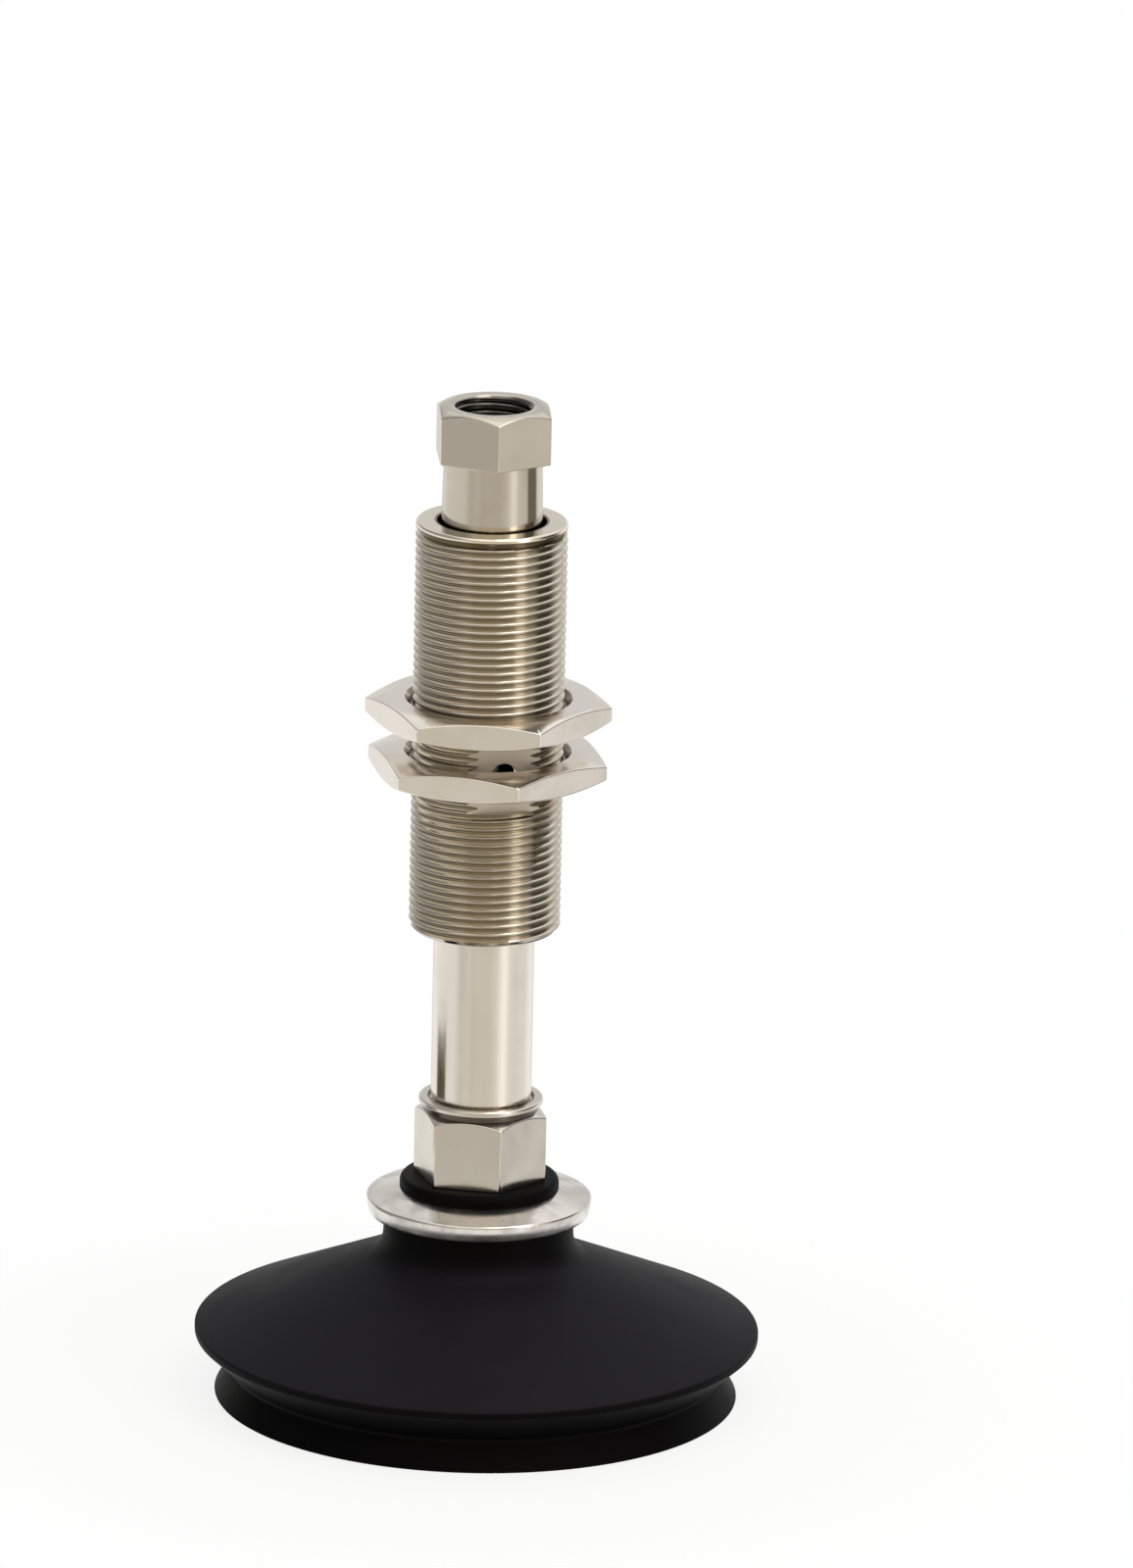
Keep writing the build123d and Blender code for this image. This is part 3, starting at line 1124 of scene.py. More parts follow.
# The cup's second colour is painted light, with dust, on its dome's upward faces.
CUP_RUBBER = Rubber(
    "cup_rubber_finish", (0.0020, 0.0015, 0.0018), (0.0128, 0.0118, 0.0160), 0.48, 0.045, 0.004)
SEAL_RUBBER = Rubber(
    "seal_rubber_finish", (0.015, 0.014, 0.013), (0.03, 0.03, 0.03), 0.55, 0.35, 0.006)
GASKET_FIBRE = Rubber(
    "gasket_finish", (0.10, 0.16, 0.13), (0.14, 0.20, 0.17), 0.70, 0.30, 0.008)


# ---------------------------------------------------------------------- pieces
@dataclass
class Piece(ABC):
    """One visible piece that stands for a node of the frame.

    Args:
        name: The piece's name.
        node: The node that it replaces.
        body: The body that it rides on.
        slot: The record's slot that its finish belongs to; not used.
        finish: Its finish.
    """

    name: str
    node: str
    body: Body
    slot: Slot
    finish: Finish

    @abstractmethod
    def shape(self) -> bpy.types.Object:
        """Builds the piece's mesh in its place."""

    def span(self) -> Span:
        """Returns the heights of the node that the piece replaces."""
        return Span.of(self.node)

    def make(self) -> bpy.types.Object:
        """Builds, finishes and mounts the piece.

        Returns:
            The finished object.
        """
        piece = self.shape()
        polish(piece)
        piece.data.materials.clear()
        piece.data.materials.append(self.finish.material())
        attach(piece, self.body.value)
        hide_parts(self.node)
        log.info("%s: %d faces", self.name, len(piece.data.polygons))
        return piece


@dataclass
class ThreadedSleeve(Piece):
    """The sleeve: a thread, a plain collar, an undercut, and a flat with the breather hole."""

    crest: float = 9.0
    root: float = 8.39
    pitch: float = 1.0
    thread_turn: float = 180.0
    runout: float = 2.5             # how steeply the thread ends under the undercut
    bore: float = 7.3
    lip: float = 6.5
    lip_depth: float = 3.1
    collar: float = 0.8
    collar_round: float = 0.5
    undercut: float = 0.35
    undercut_depth: float = 0.5
    clip_bite: float = 0.45
    vent_radius: float = 1.4
    vent_sink: float = 0.15
    vent_height: float = 20.8
    vent_turn: float = 14.5
    flat_plane: float = 7.85
    flat_height: float = 9.0

    def shape(self) -> bpy.types.Object:
        """Builds the threaded tube and cuts the flat and the breather hole into it.

        Returns:
            The sleeve.
        """
        span, clip = self.span(), Span.of("bush_clip")
        collar_low = span.high - self.collar
        thread_top = collar_low - self.undercut
        neck, clip_groove = self.crest - self.undercut_depth, self.bore + self.clip_bite
        lip_low = span.high - self.lip_depth
        lip = [(self.lip, span.high, BROKEN), (self.lip, lip_low)]
        skin = RingSkin(TUBE_PLAN.angles())
        skin.rings(soften([
            *lip, (self.bore, lip_low), (self.bore, clip.high), (clip_groove, clip.high),
            (clip_groove, clip.low), (self.bore, clip.low), (self.bore, span.low, BROKEN),
            (self.root, span.low)])[1:-1])

        def lead_in(radius: np.ndarray, height: np.ndarray) -> np.ndarray:
            """Turns the thread down at both of its ends."""
            from_end = np.minimum(height - span.low, self.runout * (thread_top - height))
            return np.minimum(radius, self.root + np.maximum(from_end, 0.0))

        skin.thread(ThreadForm(self.pitch, self.crest, self.root), span.low, thread_top, lead_in)
        skin.rings(soften([
            (self.root, thread_top), (neck, thread_top, FINE), (neck, collar_low, EASED),
            (self.crest, collar_low, EASED), (self.crest, span.high, self.collar_round),
            *lip])[1:-1])
        sleeve = skin.mesh(self.name)
        spin(sleeve, self.thread_turn)
        for tool in self.tools():
            aim(tool, self.vent_turn, span.low + self.vent_height)
            carve(sleeve, tool, Cut.REMOVE)
        return sleeve

    def tools(self) -> tuple[bpy.types.Object, bpy.types.Object]:
        """Builds the tools that cut the flat and the breather hole.

        Returns:
            A block and a drill, upright at the origin.
        """
        far, half = 2.0 * self.crest, self.flat_height / 2.0
        narrow, wide = self.vent_radius, self.vent_radius + self.vent_sink
        flat = block("tool", (-far, -half, self.flat_plane), (far, half, far))
        drill = turned("tool", [
            (0.0, 0.0), (narrow, 0.0), (narrow, self.flat_plane - self.vent_sink),
            (wide, self.flat_plane), (wide, far), (0.0, far)], VENT_PLAN)
        return flat, drill


@dataclass
class MountingNut(Piece):
    """A thin nut with turned ends and a countersunk bore."""

    turn: float = 0.0
    flats: float = 25.5
    corner_round: float = 0.3
    bore: float = 9.05
    sink: float = 10.0
    cone: float = 20.0
    edge: float = 0.3
    soft: float = 0.12

    def shape(self) -> bpy.types.Object:
        """Builds the nut.

        Returns:
            The nut.
        """
        span, rim = self.span(), self.flats / 2.0
        turns, radii = HexPlan(self.flats, self.turn, self.corner_round).points().T
        skin = RingSkin(turns)
        depth = self.sink - self.bore
        skin.rings(soften([(self.bore, span.low + depth, FINE), (self.sink, span.low, FINE),
                           (rim, span.low)])[:-1])
        for level, cone in ((span.low, -self.cone), (span.high, self.cone)):
            skin.rings(hex_side(radii, level, rim - self.edge, cone, self.soft))
        skin.rings(soften([(rim, span.high), (self.sink, span.high, FINE),
                           (self.bore, span.high - depth, FINE)])[1:])
        return skin.mesh(self.name)


def hex_side(radii: np.ndarray, level: float, face: float, cone: float,
             soft: float) -> list[tuple[Numbers, Numbers]]:
    """Lists the rings of a hexagon's turned end, in rising order.

    Args:
        radii: The hexagon's radius per angle.
        level: Height of its end.
        face: Radius where the cone starts.
        cone: Angle of the cone, above 0 for an upper end and below 0 for a lower one.
        soft: Size of the rounding between the cone and the sides.

    Returns:
        Radius and height of each ring.
    """
    lean = math.radians(abs(cone))
    down = -1.0 if cone > 0.0 else 1.0
    edge = level + down * np.maximum(radii - face, 0.0) * math.tan(lean)
    inner, inner_level = radii - soft * math.cos(lean), edge - down * soft * math.sin(lean)
    outer_level = edge + down * soft
    found: list[tuple[Numbers, Numbers]] = [(face, level)]
    for share in (0.0, 1.0 / 3.0, 2.0 / 3.0, 1.0):
        first, second, third = (1.0 - share) ** 2, 2.0 * share * (1.0 - share), share ** 2
        found.append((inner * first + radii * (second + third),
                      inner_level * first + edge * second + outer_level * third))
    return found if down > 0.0 else found[::-1]


def hex_foot(radii: np.ndarray, level: float, soft: float) -> list[tuple[Numbers, Numbers]]:
    """Lists the rings of a hexagon's flat lower end with a rounded edge, in rising order.

    Args:
        radii: The hexagon's radius per angle.
        level: Height of its end.
        soft: Size of the rounding.

    Returns:
        Radius and height of each ring.
    """
    return [(radii - soft * (1.0 - share), level + soft * share ** 2) for share in (0.0, 0.5, 1.0)]


@dataclass
class PortFitting(Piece):
    """The vacuum port: a hexagon with a threaded hole, and the neck that enters the sleeve."""

    flats: float = 13.0
    hex_height: float = 6.4
    turn: float = 4.5
    corner_round: float = 0.12
    cone: float = 30.0
    edge: float = 0.3
    soft: float = 0.12
    neck: float = 6.0
    neck_top: float = 5.85
    neck_round: float = 0.25
    thread_minor: float = 4.283
    thread_major: float = 4.864
    thread_pitch: float = 0.907
    thread_depth: float = 7.0
    thread_start: float = 0.06      # depth of the thread's upper end in the mouth
    drill_cone: float = 0.6         # length of the run-out's plain part, as a share of the chamfer
    mouth: float = 4.7
    mouth_edge: tuple[float, float] = (0.1, 0.03)
    passage: float = 2.5
    pilot: float = 4.55
    pilot_depth: float = 1.0
    socket: float = 4.05

    def shape(self) -> bpy.types.Object:
        """Builds the fitting, from its socket through the neck and the hexagon into the port.

        Returns:
            The fitting.
        """
        span, gasket = self.span(), Span.of("port_gasket")
        neck_high = Span.of("threaded_sleeve").high
        hex_low, floor = span.high - self.hex_height, span.high - self.thread_depth
        pilot_high, thread_top = span.low + self.pilot_depth, span.high - self.thread_start
        turns, radii = HexPlan(self.flats, self.turn, self.corner_round).points().T
        skin = RingSkin(turns)
        skin.rings(soften([
            (self.passage, floor), (self.passage, gasket.high), (self.socket, gasket.high),
            (self.socket, pilot_high), (self.pilot, pilot_high), (self.pilot, span.low),
            (self.neck, span.low, ROUNDED), (self.neck, neck_high),
            (self.neck_top, hex_low, self.neck_round),
            (self.flats / 2.0 - 2.0 * self.soft, hex_low)]))
        skin.rings(hex_foot(radii, hex_low, self.soft))
        skin.rings(hex_side(radii, span.high, self.flats / 2.0 - self.edge, self.cone, self.soft))
        outer, inner = self.mouth_edge
        skin.rings([(self.mouth + outer, span.high), (self.mouth + inner, span.high - inner)])
        chamfer = self.mouth - self.thread_minor

        def mouth(radius: np.ndarray, height: np.ndarray) -> np.ndarray:
            """Opens the thread's mouth and closes it over the tapping drill's floor.

            Args:
                radius: Radii of the thread.
                height: Their heights.

            Returns:
                The changed radii.
            """
            opened = np.maximum(radius, self.mouth - (thread_top - height))
            runout = np.clip((height - floor) / chamfer - self.drill_cone, 0.0, 1.0)
            cut = self.thread_minor + (opened - self.thread_minor) * runout
            return np.maximum(self.thread_minor, cut)

        form = ThreadForm(self.thread_pitch, self.thread_minor, self.thread_major)
        skin.thread(form, floor, thread_top, mouth, falling=True)
        return skin.mesh(self.name)


@dataclass
class SpindleTube(Piece):
    """The hollow rod: a guided length, a shoulder for the spring and a thinner stem."""

    rod: float = 6.0
    stem: float = 4.5
    spigot: float = 4.5
    head: float = 4.0
    passage: float = 2.5
    edge: float = 0.3
    pilot_depth: float = 1.0

    def shape(self) -> bpy.types.Object:
        """Builds the rod.

        Returns:
            The rod.
        """
        span = self.span()
        adapter, shoulder = Span.of("cup_adapter").high, Span.of("lower_spring_seat").low
        pilot = Span.of("port_fitting").low + self.pilot_depth
        return turned(self.name, [
            (self.passage, span.low, FINE), (self.spigot, span.low, self.edge),
            (self.spigot, adapter), (self.rod, adapter, self.edge),
            (self.rod, (adapter + shoulder) / 2.0), (self.rod, shoulder, FINE),
            (self.stem, shoulder), (self.stem, pilot, FINE), (self.head, pilot),
            (self.head, span.high, self.edge), (self.passage, span.high, FINE)])


@dataclass
class CupAdapter(Piece):
    """The hexagonal adapter with the disc above it, and the flanged foot inside the cup."""

    flats: float = 14.0
    turn: float = 17.5
    corner_round: float = 0.25
    cone: float = 30.0
    edge: float = 0.3
    soft: float = 0.12
    collar: float = 7.4
    collar_height: float = 0.7
    collar_round: float = 0.28
    waist: float = 6.8
    waist_height: float = 0.75
    recess: float = 6.35
    recess_depth: float = 0.3
    recess_rounds: tuple[float, float] = (0.08, 0.05)
    stem: float = 5.5
    foot: float = 8.5
    foot_height: float = 3.0
    foot_round: float = 0.6
    socket: float = 4.55
    passage: float = 2.5
    funnel: float = 1.5
    seat: float = 4.7
    clip_bite: float = 0.25

    def shape(self) -> bpy.types.Object:
        """Builds the adapter.

        Returns:
            The adapter.
        """
        span, gasket = self.span(), Span.of("adapter_gasket")
        clip, screen = Span.of("filter_clip"), Span.of("filter_screen")
        bead, foot_high = Span.of("suction_cup").high, span.low + self.foot_height
        collar_low, recess_low = span.high - self.collar_height, span.high - self.recess_depth
        hex_high, groove = collar_low - self.waist_height, self.seat + self.clip_bite
        rim_round, floor_round = self.recess_rounds
        turns, radii = HexPlan(self.flats, self.turn, self.corner_round).points().T
        skin = RingSkin(turns)
        skin.rings(soften([
            (self.passage, gasket.low), (self.passage, screen.high + self.funnel),
            (self.seat - 2.0 * self.edge, screen.high), (self.seat, screen.high),
            (self.seat, clip.high), (groove, clip.high), (groove, clip.low),
            (self.seat, clip.low), (self.seat, span.low, EASED),
            (self.foot, span.low, self.foot_round), (self.foot, foot_high, ROUNDED),
            (self.stem, foot_high), (self.stem, bead)]))
        skin.rings(hex_foot(radii, bead, self.soft))
        skin.rings(hex_side(radii, hex_high, self.flats / 2.0 - self.edge, self.cone, self.soft))
        skin.rings(soften([
            (self.waist, hex_high, EASED), (self.waist, collar_low, EASED),
            (self.collar, collar_low, EASED), (self.collar, span.high, self.collar_round),
            (self.recess, span.high, rim_round), (self.recess, recess_low, floor_round),
            (self.socket, recess_low), (self.socket, gasket.low)]))
        return skin.mesh(self.name)


@dataclass
class LockRing(Piece):
    """The bevelled ring round the cup's neck."""

    bore: float = 9.2
    ridge: float = 13.45
    ridge_height: float = 2.0
    foot: float = 13.1
    flare: float = 0.2
    flare_height: float = 1.1
    flare_round: float = 0.9
    top: float = 0.25
    top_drop: float = 0.2
    top_round: float = 0.05

    def shape(self) -> bpy.types.Object:
        """Builds the ring.

        Returns:
            The ring.
        """
        span = self.span()
        return turned(self.name, [
            (self.bore, span.low, FINE), (self.foot, span.low, ROUNDED),
            (self.foot + self.flare, span.low + self.flare_height, self.flare_round),
            (self.ridge, span.low + self.ridge_height, ROUNDED),
            (self.bore + self.top, span.high, BROKEN),
            (self.bore, span.high - self.top_drop, self.top_round)], RING_PLAN)


@dataclass
class SuctionCup(Piece):
    """The bellows cup: folds, the roll above the lock ring, the foot's pocket and the cleats."""

    lip: float = 31.3
    lip_land: float = 0.7
    fold: float = 29.4
    fold_height: float = 3.5
    rim: float = 33.7
    rim_height: float = 7.4
    rim_land: float = 0.9
    rim_flat: float = 0.03          # half of the land's plain middle
    rim_round: float = 0.8
    shoulder: float = 14.0
    shoulder_height: float = 16.8
    dome_round: float = 3.4
    neck: float = 11.35
    wall: float = 2.4
    ceiling: float = 14.4
    ceiling_round: float = 1.0
    fold_round: float = 0.5
    foot: float = 8.5
    foot_height: float = 3.0
    foot_round: float = 0.6
    foot_mouth: float = 6.0
    stem: float = 5.5
    stem_round: float = 0.2
    bore: float = 9.2
    bead: float = 0.3               # how far the bead stands out over the ring's bore
    bead_round: float = 1.3
    cleats: int = 8
    cleat_width: float = 2.0
    cleat_depth: float = 1.1
    cleat_start: float = 14.5
    cleat_end: float = 24.0
    cleat_bevel: float = 0.3
    cleat_slant: float = 0.5

    def slope(self) -> float:
        """Returns the fall of the dome per millimetre of radius."""
        return (self.shoulder_height - self.rim_height - self.rim_land) / (self.rim - self.shoulder)

    def dome(self, radius: float) -> float:
        """Returns the height of the dome's outside at a radius."""
        return self.shoulder_height - self.slope() * (radius - self.shoulder)

    def shape(self) -> bpy.types.Object:
        """Builds the cup and adds its cleats.

        Returns:
            The cup.
        """
        span, ring, foot_low = self.span(), Span.of("cup_lock_ring"), Span.of("cup_adapter").low
        drop = self.wall * math.sqrt(1.0 + self.slope() ** 2)
        ceiling_radius = self.shoulder + (self.shoulder_height - drop - self.ceiling) / self.slope()
        inner_rim, inner_fold = self.rim - self.wall, self.fold - self.wall
        foot_high, bead = foot_low + self.foot_height, self.bore + self.bead
        middle = self.rim_height + self.rim_land / 2.0
        cup = turned(self.name, [
            (self.stem, span.high, self.stem_round), (bead, span.high, self.bead_round),
            (bead, ring.high), (self.bore, ring.high - self.bead), (self.bore, ring.low),
            (self.neck, ring.low, EASED), (self.neck, self.dome(self.neck), self.dome_round),
            (self.rim, self.rim_height + self.rim_land, self.rim_round),
            (self.rim, middle + self.rim_flat), (self.rim, middle - self.rim_flat),
            (self.rim, self.rim_height, self.rim_round),
            (self.fold, self.fold_height, self.fold_round), (self.lip, 0.0, BROKEN),
            (self.lip - self.lip_land, 0.0, BROKEN),
            (inner_fold, self.fold_height, self.fold_round),
            (inner_rim, self.dome(inner_rim) - drop, self.rim_round),
            (ceiling_radius, self.ceiling, self.ceiling_round),
            (self.foot_mouth, self.ceiling, ROUNDED), (self.foot_mouth, foot_low),
            (self.foot, foot_low, self.foot_round), (self.foot, foot_high, ROUNDED),
            (self.stem, foot_high)], CUP_PLAN)
        for number in range(self.cleats):
            carve(cup, self.cleat(drop, math.radians(360.0 / self.cleats * number)), Cut.ADD)
        return cup

    def cleat(self, drop: float, turn: float) -> bpy.types.Object:
        """Builds one cleat.

        Args:
            drop: Thickness of the dome, measured straight down.
            turn: Its direction, in radians.

        Returns:
            The cleat, in its place.
        """
        start, end, half = self.cleat_start, self.cleat_end, self.cleat_width / 2.0
        bevel, slant = self.cleat_bevel, self.cleat_slant
        start_low = self.ceiling - self.cleat_depth
        end_low = self.dome(end) - drop - self.cleat_depth
        outline = np.array([
            (start, self.ceiling + drop / 3.0), (end, self.dome(end) - drop / 2.0), (end, end_low),
            (end - slant, end_low), (start + slant, start_low), (start, start_low + slant)])
        outer = outline[:, 0] > outline[:, 0].mean()
        out, across = (np.append(heading(lean), 0.0) for lean in (turn, turn + math.pi / 2.0))
        up = np.array((0.0, 0.0, 1.0))
        sections = []
        for offset in (-half, bevel - half, half - bevel, half):
            lift = np.where(outer & (abs(offset) < half), 0.0, bevel)
            sections.append(np.outer(outline[:, 0], out) + across * offset
                            + np.outer(outline[:, 1] + lift, up))
        return loft("tool", sections)


@dataclass
class CoilSpring(Piece):
    """The return spring, wound from round wire with closed ends."""

    wire: float = 0.4
    mean: float = 5.9
    turns: float = 7.5
    closed_pitch: float = 0.82
    around: int = 12
    per_turn: int = 40

    def shape(self) -> bpy.types.Object:
        """Builds the wire along its helix.

        Returns:
            The spring.
        """
        span = self.span()
        steps = int(self.turns * self.per_turn)
        turn = np.linspace(0.0, self.turns, steps + 1)
        low, high = span.low + self.wire, span.high - self.wire
        height = np.interp(turn, [0.0, 1.0, self.turns - 1.0, self.turns],
                           [low, low + self.closed_pitch, high - self.closed_pitch, high])
        angle = turn * 2.0 * math.pi
        out = np.column_stack((np.cos(angle), np.sin(angle), np.zeros_like(angle)))
        line = out * self.mean + np.outer(height, (0.0, 0.0, 1.0))
        along = np.gradient(line, axis=0)
        along /= np.linalg.norm(along, axis=1)[:, None]
        side = np.cross(along, out)
        points = []
        for number in range(self.around):
            lean = 2.0 * math.pi * number / self.around
            points.append(line + self.wire * (math.cos(lean) * out + math.sin(lean) * side))
        return loft(self.name, list(np.stack(points, axis=1)))

    def make(self) -> bpy.types.Object:
        """Builds the spring, reads the stroke's travel, and gives the spring a mesh of its own.

        Returns:
            The finished object.
        """
        piece = super().make()
        span = self.span()
        joint = next(joint for joint in frame["joints"] if joint["name"] == "stroke")
        travel, length = joint["range_m"][1] * METRE, span.high - span.low
        (length - travel) / length
        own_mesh(piece)
        return piece


@dataclass
class FilterScreen(Piece):
    """The perforated disc in the adapter's foot."""

    radius: float = 4.68
    edge: float = 0.08
    hole: float = 0.8
    circle: float = 2.4
    count: int = 6
    overshoot: float = 1.0          # how far the drill passes both faces

    def shape(self) -> bpy.types.Object:
        """Builds the disc and drills it.

        Returns:
            The disc.
        """
        span = self.span()
        disc = turned(self.name, [
            (0.0, span.low), (self.radius, span.low, self.edge),
            (self.radius, span.high, self.edge), (0.0, span.high)], DISC_PLAN)
        low, high = span.low - self.overshoot, span.high + self.overshoot
        leans = [2.0 * math.pi * number / self.count for number in range(self.count)]
        for distance, lean in [(0.0, 0.0)] + [(self.circle, lean) for lean in leans]:
            drill = turned("tool", [(0.0, low), (self.hole, low), (self.hole, high), (0.0, high)],
                           DRILL_PLAN)
            aside = Vector((math.cos(lean), math.sin(lean), 0.0)) * (distance / METRE)
            drill.data.transform(Matrix.Translation(aside))
            carve(disc, drill, Cut.REMOVE)
        return disc


@dataclass
class InnerPieces:
    """The plain pieces inside, which keep their nodes' shapes and only need their finishes."""

    finishes: Mapping[str, Finish] = field(default_factory=lambda: {
        "upper_guide_bush": BRONZE, "lower_guide_bush": BRONZE, "bush_clip": SPRING_STEEL,
        "filter_clip": SPRING_STEEL, "rod_wiper": SEAL_RUBBER, "end_stop_bumper": SEAL_RUBBER,
        "upper_spring_seat": SEAT_STEEL, "lower_spring_seat": SEAT_STEEL,
        "port_gasket": GASKET_FIBRE, "adapter_gasket": GASKET_FIBRE})

    def dress(self) -> None:
        """Gives each inner piece its finish."""
        for node, finish in self.finishes.items():
            for place in frame["nodes"][node].material_slots:
                place.material = finish.material()
            log.info("%s: finished as %s", node, finish.name)


# ---------------------------------------------------------------------- studio
def mount(name: str, data: bpy.types.ID, stand: Vector, target: Vector,
          roll: float = 0.0) -> bpy.types.Object:
    """Puts a camera or a lamp in the scene and points it.

    Args:
        name: The object's name.
        data: The camera or the lamp.
        stand: Where it stands.
        target: Where it points.
        roll: Its turn about its line of sight.

    Returns:
        The object.
    """
    holder = add_object(name, data)
    holder.rotation_mode = "QUATERNION"
    holder.location = stand / METRE
    look = (target - stand).to_track_quat("-Z", "Y")
    holder.rotation_quaternion = look @ Quaternion((0.0, 0.0, 1.0), math.radians(roll))
    return holder


@dataclass
class Viewpoint:
    """The camera: it looks along +Y and a little down, with a long lens.

    Args:
        distance: Its distance from the pivot.
        elevation: How far it looks down.
        roll: Its turn about its line of sight.
        pivot_height: Height of the pivot on the Z axis.
        right: How far to the pivot's right it looks.
        up: How far above the pivot it looks.
        lens: Its focal length.
        sensor: Width of its sensor.
        clip: The nearest and farthest that it sees.
    """

    distance: float = 1900.0
    elevation: float = 16.4
    roll: float = 1.2
    pivot_height: float = 63.0
    right: float = 9.43
    up: float = 12.3
    lens: float = 367.65
    sensor: float = 36.0
    clip: tuple[float, float] = (50.0, 50000.0)

    def place(self) -> None:
        """Makes the camera and gives it to the scene."""
        lean = math.radians(self.elevation)
        back = Vector((0.0, -math.cos(lean), math.sin(lean)))
        above = Vector((0.0, math.sin(lean), math.cos(lean)))
        pivot = Vector((0.0, 0.0, self.pivot_height))
        stand = pivot + back * self.distance
        target = pivot + Vector((self.right, 0.0, 0.0)) + above * self.up
        lens = bpy.data.cameras.new("camera")
        lens.lens, lens.sensor_width = self.lens, self.sensor
        lens.clip_start, lens.clip_end = (distance / METRE for distance in self.clip)
        bpy.context.scene.camera = mount("camera", lens, stand, target, self.roll)


WARM_GREEN, WARM_BLUE = 0.045, 0.135      # what a warmth of 1 takes from green and from blue


@dataclass(frozen=True)
class Horizon:
    """Tones of the room by direction.

    Args:
        tones: Direction counted from the camera's towards +X, brightness and warmth of each tone.
    """

    tones: tuple[tuple[float, float, float], ...]

    def colour(self, recipe: Recipe, side: Value) -> bpy.types.NodeSocket:
        """Blends the tones by direction.

        Args:
            recipe: The tree.
            side: The direction in degrees.

        Returns:
            The colour.
        """
        stops = [(0.5 + at / 360.0,
                  (light, light * (1.0 - WARM_GREEN * warmth), light * (1.0 - WARM_BLUE * warmth)))
                 for at, light, warmth in self.tones]
        made = recipe.node("ShaderNodeValToRGB", {"stops": stops}, {0: side / 360.0 + 0.5})
        return made.outputs["Color"]


WALL = Horizon((
    (-180.0, 0.78, 0.2), (-156.0, 0.80, 0.3), (-145.0, 0.97, 0.3), (-130.0, 0.88, 0.3),
    (-100.0, 0.82, 0.4), (-66.0, 0.76, 0.5), (-51.0, 0.54, 0.8), (-40.0, 0.62, 0.9),
    (-31.0, 0.67, 0.9), (-24.0, 0.60, 1.0), (-12.0, 0.64, 1.0), (16.0, 0.64, 1.0),
    (32.0, 0.74, 0.8), (46.0, 0.98, 0.5), (54.0, 1.0, 0.5), (62.0, 0.80, 0.7),
    (76.0, 0.76, 0.7), (95.0, 0.80, 0.5), (112.0, 0.80, 0.4), (128.0, 0.92, 0.2),
    (142.0, 0.97, 0.2), (158.0, 0.82, 0.2), (180.0, 0.78, 0.2)))
AROUND = Horizon((
    (-180.0, 0.78, 0.2), (-156.0, 0.82, 0.3), (-140.0, 1.1, 0.3), (-100.0, 1.2, 0.4),
    (-60.0, 1.15, 0.7), (-42.0, 1.0, 1.3), (-26.0, 0.62, 2.2), (26.0, 0.60, 2.2),
    (40.0, 0.80, 1.5), (45.0, 1.9, 0.9), (55.0, 1.9, 0.9), (61.0, 0.85, 1.3),
    (74.0, 0.60, 1.5), (83.0, 0.10, 1.5), (108.0, 0.06, 1.5), (120.0, 0.60, 0.5),
    (140.0, 1.0, 0.2), (158.0, 0.82, 0.2), (180.0, 0.78, 0.2)))


@dataclass(frozen=True)
class Room:
    """A soft room: tones by direction, a pale ceiling, a darker band behind and a darker side.

    A height in the room is the upward part of a direction, from -1 to 1.

    Args:
        wall: Tones that upright faces of the object reflect.
        wall_band: Heights of these tones.
        around: Tones below and above them.
        above: Colour of the ceiling.
        ceiling: Heights at which the ceiling starts and is full.
        front: Directions, either side, beyond which and within which the room counts as its front.
        front_lift: How much higher the ceiling starts in front.
        behind: Heights of the darker band behind.
        behind_depth: How dark it is.
        zenith: Colour of the ceiling's middle.
        zenith_reach: Heights at which the middle starts and is full.
        shade: Directions of the darker side.
        shade_foot: Heights at which it starts and is full.
        shade_head: Heights at which it is gone and still full.
        shade_depth: How dark it is.
    """

    wall: Horizon = WALL
    wall_band: Band = Band(-0.28, 0.06, 0.07)
    around: Horizon = AROUND
    above: Colour = (1.0, 0.99, 0.97)
    ceiling: tuple[float, float] = (0.20, 0.75)
    front: tuple[float, float] = (130.0, 70.0)
    front_lift: float = 0.15
    behind: Band = Band(0.33, 0.07, 0.10)
    behind_depth: float = 0.18
    zenith: Colour = (1.25, 1.24, 1.22)
    zenith_reach: tuple[float, float] = (0.80, 0.95)
    shade: Band = Band(-95.0, 30.0, 50.0)
    shade_foot: tuple[float, float] = (-0.15, 0.10)
    shade_head: tuple[float, float] = (0.95, 0.80)
    shade_depth: float = 0.70

    def colour(self, recipe: Recipe) -> bpy.types.NodeSocket:
        """Gives the room's colour by direction.

        Args:
            recipe: The tree of the world.

        Returns:
            The colour.
        """
        x, y, z = recipe.split(recipe.node("ShaderNodeTexCoord").outputs["Generated"])
        side = x.math("ARCTAN2", x, 0.0 - y) * math.degrees(1.0)
        front = abs(side).ramp(*self.front)
        around, wall = (tones.colour(recipe, side) for tones in (self.around, self.wall))
        colour = recipe.blend(z.band(self.wall_band), around, wall)
        colour = recipe.blend((z - front * self.front_lift).ramp(*self.ceiling), colour, self.above)
        behind = z.band(self.behind) * (1.0 - front) * self.behind_depth
        colour = recipe.blend(behind, colour, BLACK)
        colour = recipe.blend(z.ramp(*self.zenith_reach), colour, self.zenith)
        shade = side.band(self.shade) * z.ramp(*self.shade_foot) * z.ramp(*self.shade_head)
        return recipe.blend(shade * self.shade_depth, colour, BLACK)


@dataclass(frozen=True)
class CardPaint(Finish):
    """A flat tone that only reflections show.

    Args:
        name: The material's name.
        tone: Its colour.
    """

    name: str
    tone: Colour

    def shader(self, recipe: Recipe) -> bpy.types.Node:
        """Fills the node tree and returns its shader."""
        return recipe.node("ShaderNodeEmission", None, {"Color": self.tone})


